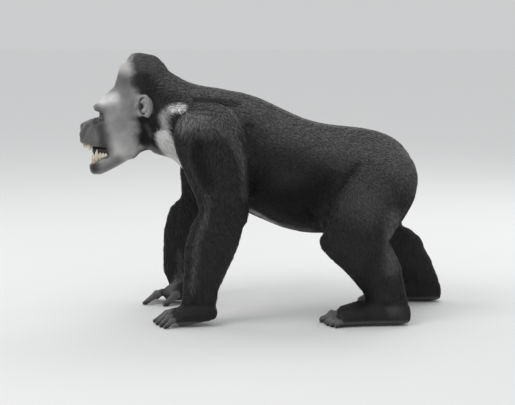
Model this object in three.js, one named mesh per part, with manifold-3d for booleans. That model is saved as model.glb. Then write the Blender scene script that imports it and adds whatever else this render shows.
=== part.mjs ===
// An adult male gorilla on all fours, as a life-size still model.
//
// The animal faces -X with its left side towards -Y. The floor is z = 0 and the
// origin lies on it, under the middle of the model. Sizes are millimetres, drawn for
// an animal whose back is DRAWN_BACK high at the shoulders, and the whole group is
// then scaled to BACK_HEIGHT.
// Every part of the body is a loft: level or upright slices that are carried
// along the part, each slice made of four quarter-ovals. The lofts are joined,
// and then parted again with thin cuts where a person would name the parts.

import * as THREE from 'three';
import { LoftGeometry } from 'three/addons/geometries/LoftGeometry.js';
import { mergeVertices } from 'three/addons/utils/BufferGeometryUtils.js';
import Module from 'manifold-3d';

const wasm = await Module();
wasm.setup();

// ---------------------------------------------------------------- main sizes
const BACK_HEIGHT = 950; // floor to the top of the back at the shoulders
const DRAWN_BACK = 1024; // the same height in the sizes below
const CUT_GAP = 0.4; // the thin cut between two parts
const NECK_BASE_X = -322; // where the chest ends and the neck begins
const MIDRIFF_X = 60; // between chest and belly
const LOIN_X = 360; // between belly and pelvis
const ELBOW_Z = 470;
const KNEE_Z = 350;
const WRIST_Z = 96;
const ANKLE_Z = 104;
const EYE = { x: -706, y: 37, z: 892, radius: 12.5 };
const EAR = { x: -518, y: 104, z: 935, height: 51, width: 34, thickness: 10 };
const MOUTH_CORNER = { x: -684, z: 717 };

const FORWARD = new THREE.Vector3(-1, 0, 0);
const BACKWARD = new THREE.Vector3(1, 0, 0);
const DOWN = new THREE.Vector3(0, 0, -1);
const SIDEWAYS = new THREE.Vector3(0, 1, 0);
const UPWARD = new THREE.Vector3(0, 0, 1);

// ---------------------------------------------------------------- tools
// A closed solid from a geometry: only its positions count, with shared corners merged.
function solid(geometry) {
  const bare = new THREE.BufferGeometry().setAttribute('position', geometry.getAttribute('position'));
  bare.setIndex(geometry.index);
  const merged = mergeVertices(bare, 1e-3);
  return new wasm.Manifold(new wasm.Mesh({
    numProp: 3,
    vertProperties: merged.attributes.position.array,
    triVerts: new Uint32Array(merged.index.array),
  }));
}

// A value that changes smoothly from station to station (t runs from 0 to 1).
function along(stations, read) {
  const curve = new THREE.CatmullRomCurve3(
    stations.map((s) => new THREE.Vector3(...read(s))), false, 'catmullrom', 0.5);
  return (t) => curve.getPoint(t);
}

// A loft through stations. Each station has its centre `at`, and how far the slice
// reaches to its upper and lower side (`top`, `low`: front and back on a limb that
// hangs down) and to +Y and -Y (`left` and `right` of the drawing, or `side` for both).
// `slices` is the fixed normal of the slices, or null to set them square to the path.
// The ends are rounded over the lengths in `dome`, each by `roundness` rings, and `grow`
// thickens the whole form.
function form(stations, options = {}) {
  const {
    around = 12, rings = 8, dome = [20, 20], roundness = 2, slices = null, width = SIDEWAYS, power = 2,
    grow = 0, place = null,
  } = options;
  const centre = along(stations, (s) => s.at);
  const sizes = along(stations, (s) => [s.top, s.low, 0]);
  const sides = along(stations, (s) => [s.yPlus ?? s.side, s.yMinus ?? s.side, s.power ?? power]);
  const length = stations.slice(1).reduce((sum, s, i) => sum
    + new THREE.Vector3(...s.at).distanceTo(new THREE.Vector3(...stations[i].at)), 0);
  const steps = [];
  const domed = (share, back) => {
    for (let ring = 0; ring < roundness; ring += 1) {
      const angle = (Math.PI / 2) * ((ring + 0.3) / (roundness + 0.15));
      const t = share * (1 - Math.cos(angle));
      steps.push({ t: back ? 1 - t : t, shrink: Math.sin(angle) });
    }
  };
  const [start, end] = dome.map((d) => d / length);
  domed(start, false);
  for (let i = 0; i <= rings; i += 1) {
    steps.push({ t: start + (1 - start - end) * (i / rings), shrink: 1 });
  }
  domed(end, true);
  steps.sort((a, b) => a.t - b.t);
  const sections = steps.map(({ t, shrink }) => {
    const c = centre(t);
    const ahead = slices ?? centre(Math.min(1, t + 0.02)).sub(centre(Math.max(0, t - 0.02))).normalize();
    const across = width.clone().addScaledVector(ahead, -width.dot(ahead)).normalize();
    const up = new THREE.Vector3().crossVectors(across, ahead);
    const { x: top, y: low } = sizes(t);
    const { x: plus, y: minus, z: exponent } = sides(t);
    return Array.from({ length: around }, (_, i) => {
      const angle = (i / around) * 2 * Math.PI;
      const [cos, sin] = [Math.cos(angle), Math.sin(angle)];
      const rise = (cos > 0 ? top : low) * shrink + grow;
      const reach = (sin > 0 ? plus : minus) * shrink + grow;
      const u = Math.sign(cos) * Math.abs(cos) ** (2 / exponent) * rise;
      const s = Math.sign(sin) * Math.abs(sin) ** (2 / exponent) * reach;
      return c.clone().addScaledVector(up, u).addScaledVector(across, s);
    });
  });
  const geometry = new LoftGeometry(sections, { capStart: true, capEnd: true });
  if (place) geometry.applyMatrix4(place);
  return solid(geometry);
}

const join = (solids) => solids.reduce((a, b) => a.add(b));

// The part of a solid on one side of a plane through `point`: the side that `normal`
// points to, half a gap away from the plane.
function keep(whole, normal, point) {
  const n = new THREE.Vector3(...normal).normalize();
  const offset = n.dot(new THREE.Vector3(...point)) + CUT_GAP / 2;
  return whole.trimByPlane([n.x, n.y, n.z], offset);
}

// Both sides of such a cut: [the side the normal points to, the other side].
function part(whole, normal, point) {
  return [keep(whole, normal, point), keep(whole, normal.map((v) => -v), point)];
}

const aboveFloor = (whole) => whole.trimByPlane([0, 0, 1], 0);

// ---------------------------------------------------------------- colours
const FUR = new THREE.MeshStandardMaterial({ color: 0x2c2a28, roughness: 0.75, metalness: 0 });
const BARE = new THREE.MeshStandardMaterial({ color: 0x7c7c7b, roughness: 0.6, metalness: 0 });
const PALM = new THREE.MeshStandardMaterial({ color: 0x55534f, roughness: 0.65, metalness: 0 });
const EYEBALL = new THREE.MeshStandardMaterial({ color: 0x24140c, roughness: 0.15, metalness: 0 });
const TOOTH = new THREE.MeshStandardMaterial({ color: 0xd8c9a0, roughness: 0.35, metalness: 0 });
const TONGUE = new THREE.MeshStandardMaterial({ color: 0x8c5a58, roughness: 0.4, metalness: 0 });

const model = new THREE.Group();
model.scale.setScalar(BACK_HEIGHT / DRAWN_BACK);

function add(name, shape, material) {
  const { vertProperties, triVerts, numProp } = shape.getMesh();
  const positions = new Float32Array((vertProperties.length / numProp) * 3);
  for (let i = 0; i < positions.length / 3; i += 1) {
    positions.set(vertProperties.subarray(i * numProp, i * numProp + 3), i * 3);
  }
  const geometry = new THREE.BufferGeometry();
  geometry.setAttribute('position', new THREE.BufferAttribute(positions, 3));
  geometry.setIndex(new THREE.BufferAttribute(new Uint32Array(triVerts), 1));
  geometry.computeVertexNormals();
  const mesh = new THREE.Mesh(geometry, material);
  mesh.name = name;
  model.add(mesh);
}

// ---------------------------------------------------------------- trunk, neck and head
// An upright slice at x, from its highest to its lowest point, `side` wide to each side,
// with its widest level at `widest` of its height.
function slice(x, high, deep, side, power = 2.2, widest = 0.5) {
  const level = deep + (high - deep) * widest;
  return { at: [x, 0, level], top: high - level, low: level - deep, side, power };
}

function trunk(grow) {
  return form([
    slice(668, 690, 500, 96),
    slice(622, 762, 452, 142),
    slice(540, 812, 420, 182),
    slice(440, 836, 388, 202),
    slice(340, 842, 364, 214),
    slice(240, 860, 358, 226),
    slice(140, 888, 366, 236),
    slice(40, 943, 400, 244),
    slice(-60, 982, 446, 248),
    slice(-160, 1004, 492, 244),
    slice(-260, 1020, 552, 226),
    slice(-350, 1024, 626, 176),
    slice(-400, 1000, 700, 120),
  ], { around: 18, rings: 11, dome: [26, 20], slices: FORWARD, grow });
}

function neck(grow) {
  return form([
    { at: [-230, 0, 830], top: 185, low: 190, side: 205 },
    { at: [-330, 0, 858], top: 172, low: 182, side: 178 },
    { at: [-410, 0, 892], top: 166, low: 196, side: 148 },
    { at: [-480, 0, 930], top: 170, low: 206, side: 112 },
    { at: [-540, 0, 965], top: 140, low: 180, side: 90 },
  ], { around: 14, rings: 5, dome: [40, 50], roundness: 1, grow });
}

// The head from the crest down to the chin, in level slices: front and back are x.
function levelSlice(z, front, back, side, power = 2.2) {
  return { at: [(front + back) / 2, 0, z], top: (back - front) / 2, low: (back - front) / 2, side, power };
}

function skull(grow) {
  return form([
    levelSlice(1162, -602, -466, 26, 2),
    levelSlice(1120, -624, -428, 46, 2),
    levelSlice(1075, -643, -402, 68, 2),
    levelSlice(1025, -650, -385, 89, 2),
    levelSlice(985, -688, -380, 101),
    levelSlice(950, -728, -380, 107),
    levelSlice(915, -726, -384, 108, 2.5),
    levelSlice(880, -714, -390, 108, 2.6),
    levelSlice(820, -706, -405, 107, 2.5),
    levelSlice(770, -702, -440, 101, 2.4),
    levelSlice(725, -694, -500, 92, 2.4),
    levelSlice(686, -690, -590, 70, 2.3),
  ], { around: 16, rings: 11, dome: [26, 20], slices: DOWN, grow });
}

function browRidge(grow) {
  return form([
    { at: [-696, -96, 922], top: 18, low: 18, side: 24 },
    { at: [-722, -58, 930], top: 19, low: 20, side: 24 },
    { at: [-729, 0, 926], top: 17, low: 18, side: 22 },
    { at: [-722, 58, 930], top: 19, low: 20, side: 24 },
    { at: [-696, 96, 922], top: 18, low: 18, side: 24 },
  ], { around: 7, rings: 6, dome: [18, 18], roundness: 1, grow, slices: SIDEWAYS, width: BACKWARD });
}

function muzzle(grow) {
  return form([
    slice(-640, 884, 738, 84),
    slice(-690, 886, 740, 76),
    slice(-735, 879, 744, 66),
    slice(-775, 867, 748, 58, 2.4),
    slice(-818, 842, 753, 46, 2.4),
  ], { around: 12, rings: 4, dome: [4, 26], slices: FORWARD, grow });
}

function lowerJaw(grow) {
  return form([
    slice(-530, 790, 716, 84),
    slice(-590, 780, 694, 84),
    slice(-640, 744, 664, 76),
    slice(-690, 720, 638, 64),
    slice(-735, 704, 620, 52, 2.4),
    slice(-772, 688, 630, 40, 2.4),
  ], { around: 10, rings: 5, dome: [4, 22], slices: FORWARD, grow });
}

const eyeBall = (y, grow) => solid(
  new THREE.SphereGeometry(EYE.radius + grow, 8, 5).translate(EYE.x, y, EYE.z));

// The open mouth: a wedge between the lips, which ends at the corner of the mouth.
function mouthHollow(grow = 0) {
  return form([
    slice(-658, 720, 712, 22),
    slice(-682, 724, 709, 50),
    slice(-704, 737, 704, 76),
    slice(-736, 753, 690, 86),
    slice(-790, 758, 660, 90),
    slice(-860, 762, 640, 90),
  ], { around: 8, rings: 4, dome: [12, 2], roundness: 1, slices: FORWARD, grow });
}

// An ear: a flat oval shell with its hollow cut in from the outer side.
function ear(side) {
  const oval = (scale, thickness, out) => {
    const shell = new THREE.SphereGeometry(1, 8, 5);
    shell.scale(EAR.width * scale, thickness, EAR.height * scale);
    shell.rotateY(THREE.MathUtils.degToRad(8));
    shell.rotateZ(side * THREE.MathUtils.degToRad(20));
    shell.translate(EAR.x, side * (EAR.y + out), EAR.z);
    return solid(shell);
  };
  return oval(1, EAR.thickness, 0).subtract(oval(0.68, EAR.thickness * 0.8, EAR.thickness * 0.75));
}

// A row of teeth on its gum: half an oval seen from above, with the long canines at its
// front corners. `up` is 1 for the lower row and -1 for the upper one, which points down.
function toothRow({ front, back, half, frontZ, backZ, up }) {
  const onGum = (degrees) => {
    const angle = THREE.MathUtils.degToRad(degrees);
    const reach = Math.cos(angle);
    return [back + (front - back) * reach, half * Math.sin(angle), backZ + (frontZ - backZ) * reach];
  };
  const gum = form([-86, -52, -26, 0, 26, 52, 86].map((degrees) => ({
    at: onGum(degrees), top: 6, low: 6, side: 8,
  })), { around: 4, rings: 6, dome: [4, 4], roundness: 1, slices: SIDEWAYS, width: UPWARD });
  const tooth = ({ degrees, length, thick }) => {
    const [x, y, z] = onGum(degrees);
    const crown = new THREE.ConeGeometry(thick, length, 4, 1);
    crown.rotateX(up * Math.PI / 2);
    crown.translate(x, y, z + up * (length / 2));
    return solid(crown);
  };
  return join([gum, ...TEETH.map(tooth)]);
}

const TEETH = [
  ...[-66, -10, 10, 66].map((degrees) => ({ degrees, length: 18, thick: 6 })),
  ...[-33, 33].map((degrees) => ({ degrees, length: 36, thick: 8 })),
];
const UPPER_ROW = { front: -792, back: -716, half: 34, frontZ: 748, backZ: 742, up: -1 };
const LOWER_ROW = { front: -764, back: -708, half: 30, frontZ: 680, backZ: 704, up: 1 };

function tongue() {
  return form([
    slice(-668, 719, 712, 18),
    slice(-700, 714, 703, 22),
    slice(-734, 704, 690, 17),
  ], { around: 6, rings: 2, dome: [8, 10], roundness: 1, slices: FORWARD });
}

// ---------------------------------------------------------------- limbs
// `side` is -1 for the left limb and 1 for the right one. A limb's slices are level,
// and `lean` moves it along X: the pose of that limb, as a function of its height.
function limbSlice(side, lean, { z, front, back, y, out, inn, power }) {
  const x = (front + back) / 2 + lean(z);
  return {
    at: [x, side * y, z],
    top: (back - front) / 2,
    low: (back - front) / 2,
    yPlus: side > 0 ? out : inn,
    yMinus: side > 0 ? inn : out,
    power,
  };
}

const ARM = [
  { z: 962, front: -300, back: -172, y: 208, out: 48, inn: 60 },
  { z: 930, front: -340, back: -136, y: 230, out: 76, inn: 80 },
  { z: 890, front: -374, back: -104, y: 250, out: 92, inn: 90 },
  { z: 840, front: -388, back: -80, y: 262, out: 97, inn: 95 },
  { z: 780, front: -388, back: -64, y: 266, out: 98, inn: 95 },
  { z: 700, front: -358, back: -60, y: 268, out: 96, inn: 90 },
  { z: 620, front: -316, back: -60, y: 268, out: 88, inn: 84 },
  { z: 545, front: -292, back: -60, y: 266, out: 80, inn: 76 },
  { z: 480, front: -284, back: -66, y: 264, out: 76, inn: 70 },
  { z: 425, front: -322, back: -84, y: 262, out: 78, inn: 70 },
  { z: 350, front: -342, back: -104, y: 260, out: 75, inn: 68 },
  { z: 270, front: -349, back: -140, y: 257, out: 66, inn: 60 },
  { z: 190, front: -351, back: -179, y: 254, out: 54, inn: 52 },
  { z: 130, front: -354, back: -200, y: 252, out: 46, inn: 46 },
  { z: 80, front: -356, back: -206, y: 252, out: 44, inn: 46 },
  { z: 56, front: -340, back: -214, y: 252, out: 38, inn: 42 },
];

const LEG = [
  { z: 765, front: 430, back: 600, y: 110, out: 70, inn: 60 },
  { z: 700, front: 388, back: 664, y: 150, out: 92, inn: 80 },
  { z: 620, front: 322, back: 672, y: 170, out: 102, inn: 90 },
  { z: 540, front: 266, back: 662, y: 184, out: 102, inn: 95 },
  { z: 470, front: 252, back: 622, y: 196, out: 98, inn: 92 },
  { z: 410, front: 246, back: 578, y: 206, out: 90, inn: 82 },
  { z: 360, front: 236, back: 548, y: 212, out: 84, inn: 74 },
  { z: 310, front: 254, back: 566, y: 216, out: 80, inn: 70 },
  { z: 260, front: 312, back: 592, y: 220, out: 76, inn: 66 },
  { z: 200, front: 376, back: 606, y: 226, out: 66, inn: 58 },
  { z: 140, front: 424, back: 618, y: 234, out: 50, inn: 46 },
  { z: 96, front: 446, back: 624, y: 240, out: 42, inn: 40 },
  { z: 60, front: 460, back: 612, y: 242, out: 36, inn: 36 },
];

// The pose of a limb: how far it is swung along X at some heights, and level between them.
const swing = (knots) => (z) => {
  const above = knots.findLast((knot) => knot[0] >= z) ?? knots[0];
  const below = knots.find((knot) => knot[0] < z) ?? knots.at(-1);
  if (above === below || z > above[0]) return above[1];
  return THREE.MathUtils.mapLinear(z, above[0], below[0], above[1], below[1]);
};
const POSE = {
  left: {
    side: -1, arm: swing([[900, 0]]), leg: swing([[900, 0]]), hand: [-283, 258, 6], foot: [545, 250, 3],
  },
  right: {
    side: 1,
    arm: swing([[860, 0], [690, -30], [600, -84], [520, -102], [470, -110], [160, -112], [100, -88]]),
    leg: swing([[740, 0], [350, 92], [274, 129], [227, 166], [130, 194], [96, 196]]),
    hand: [-362, 208, 2],
    foot: [741, 240, 3],
  },
};

const arm = (pose, grow) => form(ARM.map((s) => limbSlice(pose.side, pose.arm, s)), {
  around: 12, rings: 12, dome: [26, 8], roundness: 1, slices: DOWN, grow, power: 2.1,
});

const leg = (pose, grow) => form(LEG.map((s) => limbSlice(pose.side, pose.leg, s)), {
  around: 12, rings: 11, dome: [50, 8], roundness: 1, slices: DOWN, grow, power: 2.2,
});

// A hand or a foot lies along -X from its wrist or ankle. It is turned outwards, set down
// at its place, and its palm or sole is tipped up on the inner side.
function setDown(side, [x, y, turn], tip = 0) {
  const about = 40;
  return new THREE.Matrix4().makeTranslation(x, side * y, about)
    .multiply(new THREE.Matrix4().makeRotationZ(side * THREE.MathUtils.degToRad(-turn)))
    .multiply(new THREE.Matrix4().makeRotationX(side * THREE.MathUtils.degToRad(-tip)))
    .multiply(new THREE.Matrix4().makeTranslation(0, 0, -about));
}

function palm({ side, hand }, grow) {
  return form([
    { at: [82, 0, 60], top: 24, low: 24, side: 34 },
    { at: [50, 0, 62], top: 38, low: 36, side: 44 },
    { at: [-10, 0, 60], top: 42, low: 49, side: 52 },
    { at: [-104, 0, 46], top: 26, low: 44, side: 56 },
  ], { around: 10, rings: 4, dome: [20, 14], roundness: 1, slices: FORWARD, power: 2.4, grow,
    place: setDown(side, hand, 13) });
}

// The sole, and the ridge of the instep that runs from the ankle to the big toe.
function sole({ side, foot }, grow) {
  const under = form([
    { at: [88, 0, 50], top: 34, low: 36, side: 28 },
    { at: [58, 0, 48], top: 48, low: 49, side: 40 },
    { at: [-70, 0, 47], top: 52, low: 48, side: 46 },
    { at: [-140, 0, 38], top: 44, low: 39, side: 50 },
    { at: [-232, side * 4, 25], top: 25, low: 26, side: 56 },
  ], { around: 10, rings: 4, dome: [26, 16], roundness: 1, slices: FORWARD, power: 2.3, grow,
    place: setDown(side, foot) });
  const instep = form([
    { at: [-10, side * -10, 66], top: 46, low: 40, side: 32 },
    { at: [-140, side * -22, 58], top: 48, low: 30, side: 32 },
    { at: [-226, side * -40, 44], top: 28, low: 24, side: 24 },
  ], { around: 7, rings: 2, dome: [10, 16], roundness: 1, slices: FORWARD, grow,
    place: setDown(side, foot) });
  return under.add(instep);
}

// A digit arches over its middle joint and ends in a round pad on the floor.
function digit(side, place, { from, to, rise, thick, tip }) {
  const [x0, y0, z0] = from;
  const [x1, y1] = to;
  const middle = [(x0 + x1) / 2, side * (y0 + y1) / 2, (z0 + tip) / 2 + rise];
  return form([
    { at: [x0, side * y0, z0], top: thick, low: thick, side: thick * 0.86 },
    { at: middle, top: thick * 0.96, low: thick, side: thick * 0.88 },
    { at: [x1, side * y1, 0], top: tip, low: tip, side: tip },
  ], { around: 6, rings: 2, dome: [2, tip * 0.9], roundness: 1, place });
}

const FINGERS = {
  index_finger: { from: [-84, -46, 58], to: [-192, -64], rise: 8, thick: 15, tip: 12 },
  middle_finger: { from: [-92, -18, 55], to: [-182, -16], rise: 10, thick: 15.5, tip: 12.5 },
  ring_finger: { from: [-94, 12, 46], to: [-168, 26], rise: 9, thick: 15, tip: 12 },
  little_finger: { from: [-88, 40, 34], to: [-150, 60], rise: 7, thick: 13.5, tip: 11 },
  thumb: { from: [-10, -42, 56], to: [-94, -98], rise: 3, thick: 18, tip: 15 },
};
const TOES = {
  big_toe: { from: [-204, -42, 36], to: [-299, -60], rise: 8, thick: 22, tip: 18 },
  toe_2: { from: [-222, -14, 26], to: [-284, -20], rise: 7, thick: 13.5, tip: 12 },
  toe_3: { from: [-222, 8, 25], to: [-279, 8], rise: 6, thick: 13, tip: 11.5 },
  toe_4: { from: [-218, 28, 24], to: [-266, 34], rise: 6, thick: 12.5, tip: 11 },
  toe_5: { from: [-208, 47, 22], to: [-246, 57], rise: 4, thick: 12, tip: 11 },
};

// ---------------------------------------------------------------- putting it together
const fore = (grow) => join([trunk, neck, skull, browRidge, muzzle, lowerJaw].map((make) => make(grow)));
const foreGrown = fore(CUT_GAP);

const TO_HEAD = [-0.93, 0, 0.37]; // the way the neck leans
const [headAndJaw, rest] = part(fore(0), TO_HEAD, [-474, 0, 900]);
const hollows = [mouthHollow()];
for (const side of [-1, 1]) {
  hollows.push(eyeBall(side * EYE.y, CUT_GAP), ear(side).hull());
}
const TO_CHIN = [-0.22, 0, -0.975]; // the way the jaw hangs
const [jaw, head] = part(headAndJaw.subtract(join(hollows)), TO_CHIN, [MOUTH_CORNER.x, 0, MOUTH_CORNER.z]);
add('head', head, BARE);
add('jaw', jaw, BARE);
const [neckPart, body] = part(rest, FORWARD.toArray(), [NECK_BASE_X, 0, 0]);
add('neck', neckPart, FUR);
const [chest, behind] = part(body, FORWARD.toArray(), [MIDRIFF_X, 0, 0]);
add('chest', chest, FUR);
const [belly, pelvis] = part(behind, FORWARD.toArray(), [LOIN_X, 0, 0]);
add('belly', belly, FUR);
add('pelvis', pelvis, FUR);

const mouthWalls = foreGrown.subtract(mouthHollow(-CUT_GAP));
add('upper_teeth', toothRow(UPPER_ROW).subtract(mouthWalls), TOOTH);
add('lower_teeth', toothRow(LOWER_ROW).subtract(mouthWalls), TOOTH);
add('tongue', tongue().subtract(mouthWalls), TONGUE);

for (const [name, pose] of Object.entries(POSE)) {
  const { side } = pose;
  add(`ear_${name}`, ear(side), BARE);
  add(`eye_${name}`, eyeBall(side * EYE.y, 0), EYEBALL);

  const [upperArm, lowerArm] = part(arm(pose, 0).subtract(foreGrown), UPWARD.toArray(), [0, 0, ELBOW_Z]);
  const [forearm, wrist] = part(lowerArm, UPWARD.toArray(), [0, 0, WRIST_Z]);
  const palmGrown = palm(pose, CUT_GAP);
  const handGrown = arm(pose, CUT_GAP).add(palmGrown);
  add(`upper_arm_${name}`, upperArm, FUR);
  add(`forearm_${name}`, forearm.subtract(palmGrown), FUR);
  add(`hand_${name}`, aboveFloor(wrist.add(palm(pose, 0))), PALM);
  const handPlace = setDown(side, pose.hand);
  for (const [digitName, shape] of Object.entries(FINGERS)) {
    add(`${digitName}_${name}`, aboveFloor(digit(side, handPlace, shape).subtract(handGrown)), PALM);
  }

  const [thigh, lowerLeg] = part(leg(pose, 0).subtract(foreGrown), UPWARD.toArray(), [0, 0, KNEE_Z]);
  const [shank, ankle] = part(lowerLeg, UPWARD.toArray(), [0, 0, ANKLE_Z]);
  const soleGrown = sole(pose, CUT_GAP);
  const footGrown = leg(pose, CUT_GAP).add(soleGrown);
  add(`thigh_${name}`, thigh, FUR);
  add(`shank_${name}`, shank.subtract(soleGrown), FUR);
  add(`foot_${name}`, aboveFloor(ankle.add(sole(pose, 0))), PALM);
  const footPlace = setDown(side, pose.foot);
  for (const [toe, shape] of Object.entries(TOES)) {
    add(`${toe}_${name}`, aboveFloor(digit(side, footPlace, shape).subtract(footGrown)), PALM);
  }
}

export default model;
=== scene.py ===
# %% [markdown]
# # A gorilla on all fours
# This lesson dresses the solids of a life-size gorilla in skin, coat, eyes, teeth and nails. The solids give
# the outline and say where everything is. Blender adds what is too fine or too soft for them. The animal
# faces -X, its left side is towards -Y, and the floor is at z = 0.

# %% The frame
import math

import bmesh
import bpy
import numpy as np
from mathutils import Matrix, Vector
from mathutils.bvhtree import BVHTree


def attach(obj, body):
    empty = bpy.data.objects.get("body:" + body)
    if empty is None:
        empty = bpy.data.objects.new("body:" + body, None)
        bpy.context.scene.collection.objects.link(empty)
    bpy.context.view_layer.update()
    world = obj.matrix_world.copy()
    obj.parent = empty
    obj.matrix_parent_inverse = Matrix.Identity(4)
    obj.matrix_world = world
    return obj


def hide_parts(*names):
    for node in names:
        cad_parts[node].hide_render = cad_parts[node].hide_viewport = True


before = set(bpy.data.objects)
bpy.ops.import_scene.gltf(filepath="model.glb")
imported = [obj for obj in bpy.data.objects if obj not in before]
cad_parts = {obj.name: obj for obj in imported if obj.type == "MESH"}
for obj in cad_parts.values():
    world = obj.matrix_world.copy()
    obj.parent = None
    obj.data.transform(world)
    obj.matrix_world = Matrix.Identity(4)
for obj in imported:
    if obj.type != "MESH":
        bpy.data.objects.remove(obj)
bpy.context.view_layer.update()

# %% [markdown]
# ## Measures
# The solids were drawn in millimetres on a plan whose back is 1024 high, and built with a back of 0.95 m.
# Places on the body are written here in the plan's millimetres, and PLAN turns them into metres. Every shape
# is a numpy array of points, one row for each, so that a step of modelling is one line of arithmetic for the
# whole body.

# %% Measures and small formulas
PLAN = 0.001 * 950 / 1024  # metres for each millimetre of the plan
SIDES = {"left": -1, "right": 1}
UP = np.array([0, 0, 1.0])
RANDOM = np.random.default_rng(7)


def unit(v):
    """Each row divided by its own length."""
    return v / np.maximum(np.linalg.norm(v, axis=-1, keepdims=True), 1e-12)


def dot(a, b):
    """The dot product of each row of a with the same row of b, as a column."""
    return np.einsum("ij,ij->i", a, b)[:, None]


def ramp(x, start, end):
    """0 before start, 1 after end, and the smooth curve 3t^2 - 2t^3 between them."""
    t = np.clip((x - start) / (end - start), 0, 1)
    return t * t * (3 - 2 * t)


def bell(distance, radius):
    """1 at no distance, falling to 0 at radius as (1 - (d/r)^2)^2."""
    return np.clip(1 - (distance / radius) ** 2, 0, 1) ** 2


def blend(value, other, share):
    """The value moved towards another by a share of the way between them."""
    return value + (other - value) * share


def above_floor(points, lowest=0):
    """The points, with those under the lowest height lifted to it."""
    return np.maximum(points, (-np.inf, -np.inf, lowest))


print("one millimetre of the plan is", round(1000 * PLAN, 4), "mm on the animal")


# %% Meshes as arrays
def read(items, name, width, kind=np.float32):
    """One value of every item of a mesh, as an array with a row for each item."""
    flat = np.empty(len(items) * width, kind)
    items.foreach_get(name, flat)
    return flat.reshape(-1, width)


def write(items, name, values, kind=np.float32):
    """An array with a row for each item, put into the mesh."""
    items.foreach_set(name, values.astype(kind).ravel())


def points_of(mesh):
    """The mesh's points as rows of plan millimetres."""
    return read(mesh.vertices, "co", 3).astype(float) / PLAN


def normals_of(mesh):
    """The way the surface faces at each point, as rows of length 1."""
    return read(mesh.vertex_normals, "vector", 3).astype(float)


def move_points(mesh, points):
    """Each point of the mesh put where its row says, in plan millimetres."""
    write(mesh.vertices, "co", points * PLAN)
    mesh.update()


def new_mesh(name, points, faces):
    """A smooth mesh from rows of plan millimetres and a list of faces."""
    mesh = bpy.data.meshes.new(name)
    mesh.from_pydata((points * PLAN).tolist(), [], faces)
    mesh.shade_smooth()
    return mesh


def shown(name, data):
    """A new object at the origin of the scene that shows a mesh, a lamp or a camera."""
    made = bpy.data.objects.new(name, data)
    bpy.context.scene.collection.objects.link(made)
    return made


# %% [markdown]
# ## Camera, floor and light
# The animal is seen from its left side, a little from above, through a long lens, so that near and far limbs
# keep their sizes. The floor is plain and pale and runs to the horizon. The lamps are large and soft: one
# high in front, one high behind, and two low ones that draw a thin bright line round the dark body, as a
# studio does for black fur.

# %% Camera
TARGET = np.array([-27, 0, 498]) * PLAN
CAMERA_DISTANCE, CAMERA_RISE = 6000 * PLAN, math.radians(8)
FOCAL_LENGTH = 94.23  # millimetres
camera = shown("camera", bpy.data.cameras.new("camera"))
camera.data.lens = FOCAL_LENGTH
from_target = Vector((0, -math.cos(CAMERA_RISE), math.sin(CAMERA_RISE))) * CAMERA_DISTANCE
camera.location = Vector(TARGET) + from_target
camera.rotation_euler = (math.pi / 2 - CAMERA_RISE, 0, 0)
bpy.context.scene.camera = camera
bpy.context.scene.view_settings.view_transform = "Standard"
print("camera at", tuple(round(v, 3) for v in camera.location))

# %% [markdown]
# ### Trees of nodes
# A finish is a tree of nodes, boxes that pass on a place, a number or a colour, and so is the light of the
# studio. It can be drawn by hand in the shader editor. In a script each box would take several lines, so a
# small class does it in one call: it adds the box, sets its values, and links it to the boxes before it.


# %% Trees of nodes
class Tree:
    """The nodes of a world or a material."""

    def __init__(self, owner):
        owner.use_nodes = True
        self.owner = owner
        self.tree = owner.node_tree

    def node(self, kind, values=None, **settings):
        """A new node. Each value goes to its socket, as a link if it is the output of another node."""
        made = self.tree.nodes.new("ShaderNode" + kind)
        for name, value in settings.items():
            setattr(made, name, value)
        for socket, value in (values or {}).items():
            if isinstance(value, bpy.types.NodeSocket):
                self.tree.links.new(value, made.inputs[socket])
            else:
                made.inputs[socket].default_value = value
        return made


class Finish(Tree):
    """A material, with short ways to what its shader needs."""

    def __init__(self, name):
        super().__init__(bpy.data.materials.new(name))
        self.shader = self.tree.nodes["Principled BSDF"]

    def set(self, **values):
        """Constants on the shader's own sockets."""
        for name, value in values.items():
            self.shader.inputs[name.replace("_", " ")].default_value = value

    def link(self, output, socket):
        """An output that drives one of the shader's sockets."""
        self.tree.links.new(output, self.shader.inputs[socket])

    def place(self):
        """Where each point is on the object, in metres."""
        return self.node("TexCoord").outputs["Object"]

    def carried(self, name, output):
        """A value that the mesh carries for each of its points."""
        return self.node("Attribute", attribute_name=name).outputs[output]

    def noise(self, place, scale, detail, **more):
        """Cloudy noise from 0 to 1, with that many specks to a metre."""
        made = self.node("TexNoise", {"Vector": place, "Scale": scale, "Detail": detail, **more})
        return made.outputs["Fac"]

    def mottle(self, scale, detail, spread, least, most):
        """The carried tint, times a noise that goes from least to most within spread of its mean, 0.5."""
        strength = self.node("MapRange", {"Value": self.noise(self.place(), scale, detail), "To Min": least,
                                          "To Max": most, "From Min": 0.5 - spread, "From Max": 0.5 + spread})
        tint = self.carried("tint", "Color")
        colour = self.node("VectorMath", {0: tint, 1: strength.outputs[0]}, operation="MULTIPLY")
        self.link(colour.outputs[0], "Base Color")

    def bump(self, height, strength, distance):
        """Small relief, drawn by the light alone."""
        bumped = self.node("Bump", {"Strength": strength, "Distance": distance, "Height": height})
        self.link(bumped.outputs[0], "Normal")


# %% Floor and world
FLOOR_HALF = 40.0  # metres
BACKDROP = (0.60, 0.605, 0.61)
bpy.ops.mesh.primitive_plane_add(size=2 * FLOOR_HALF, location=(0, 0, 0))
floor = bpy.context.object
floor.name = "floor"
paint = Finish("floor_paint")
paint.set(Base_Color=(0.76, 0.76, 0.75, 1), Roughness=0.9)
floor.data.materials.append(paint.owner)

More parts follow.
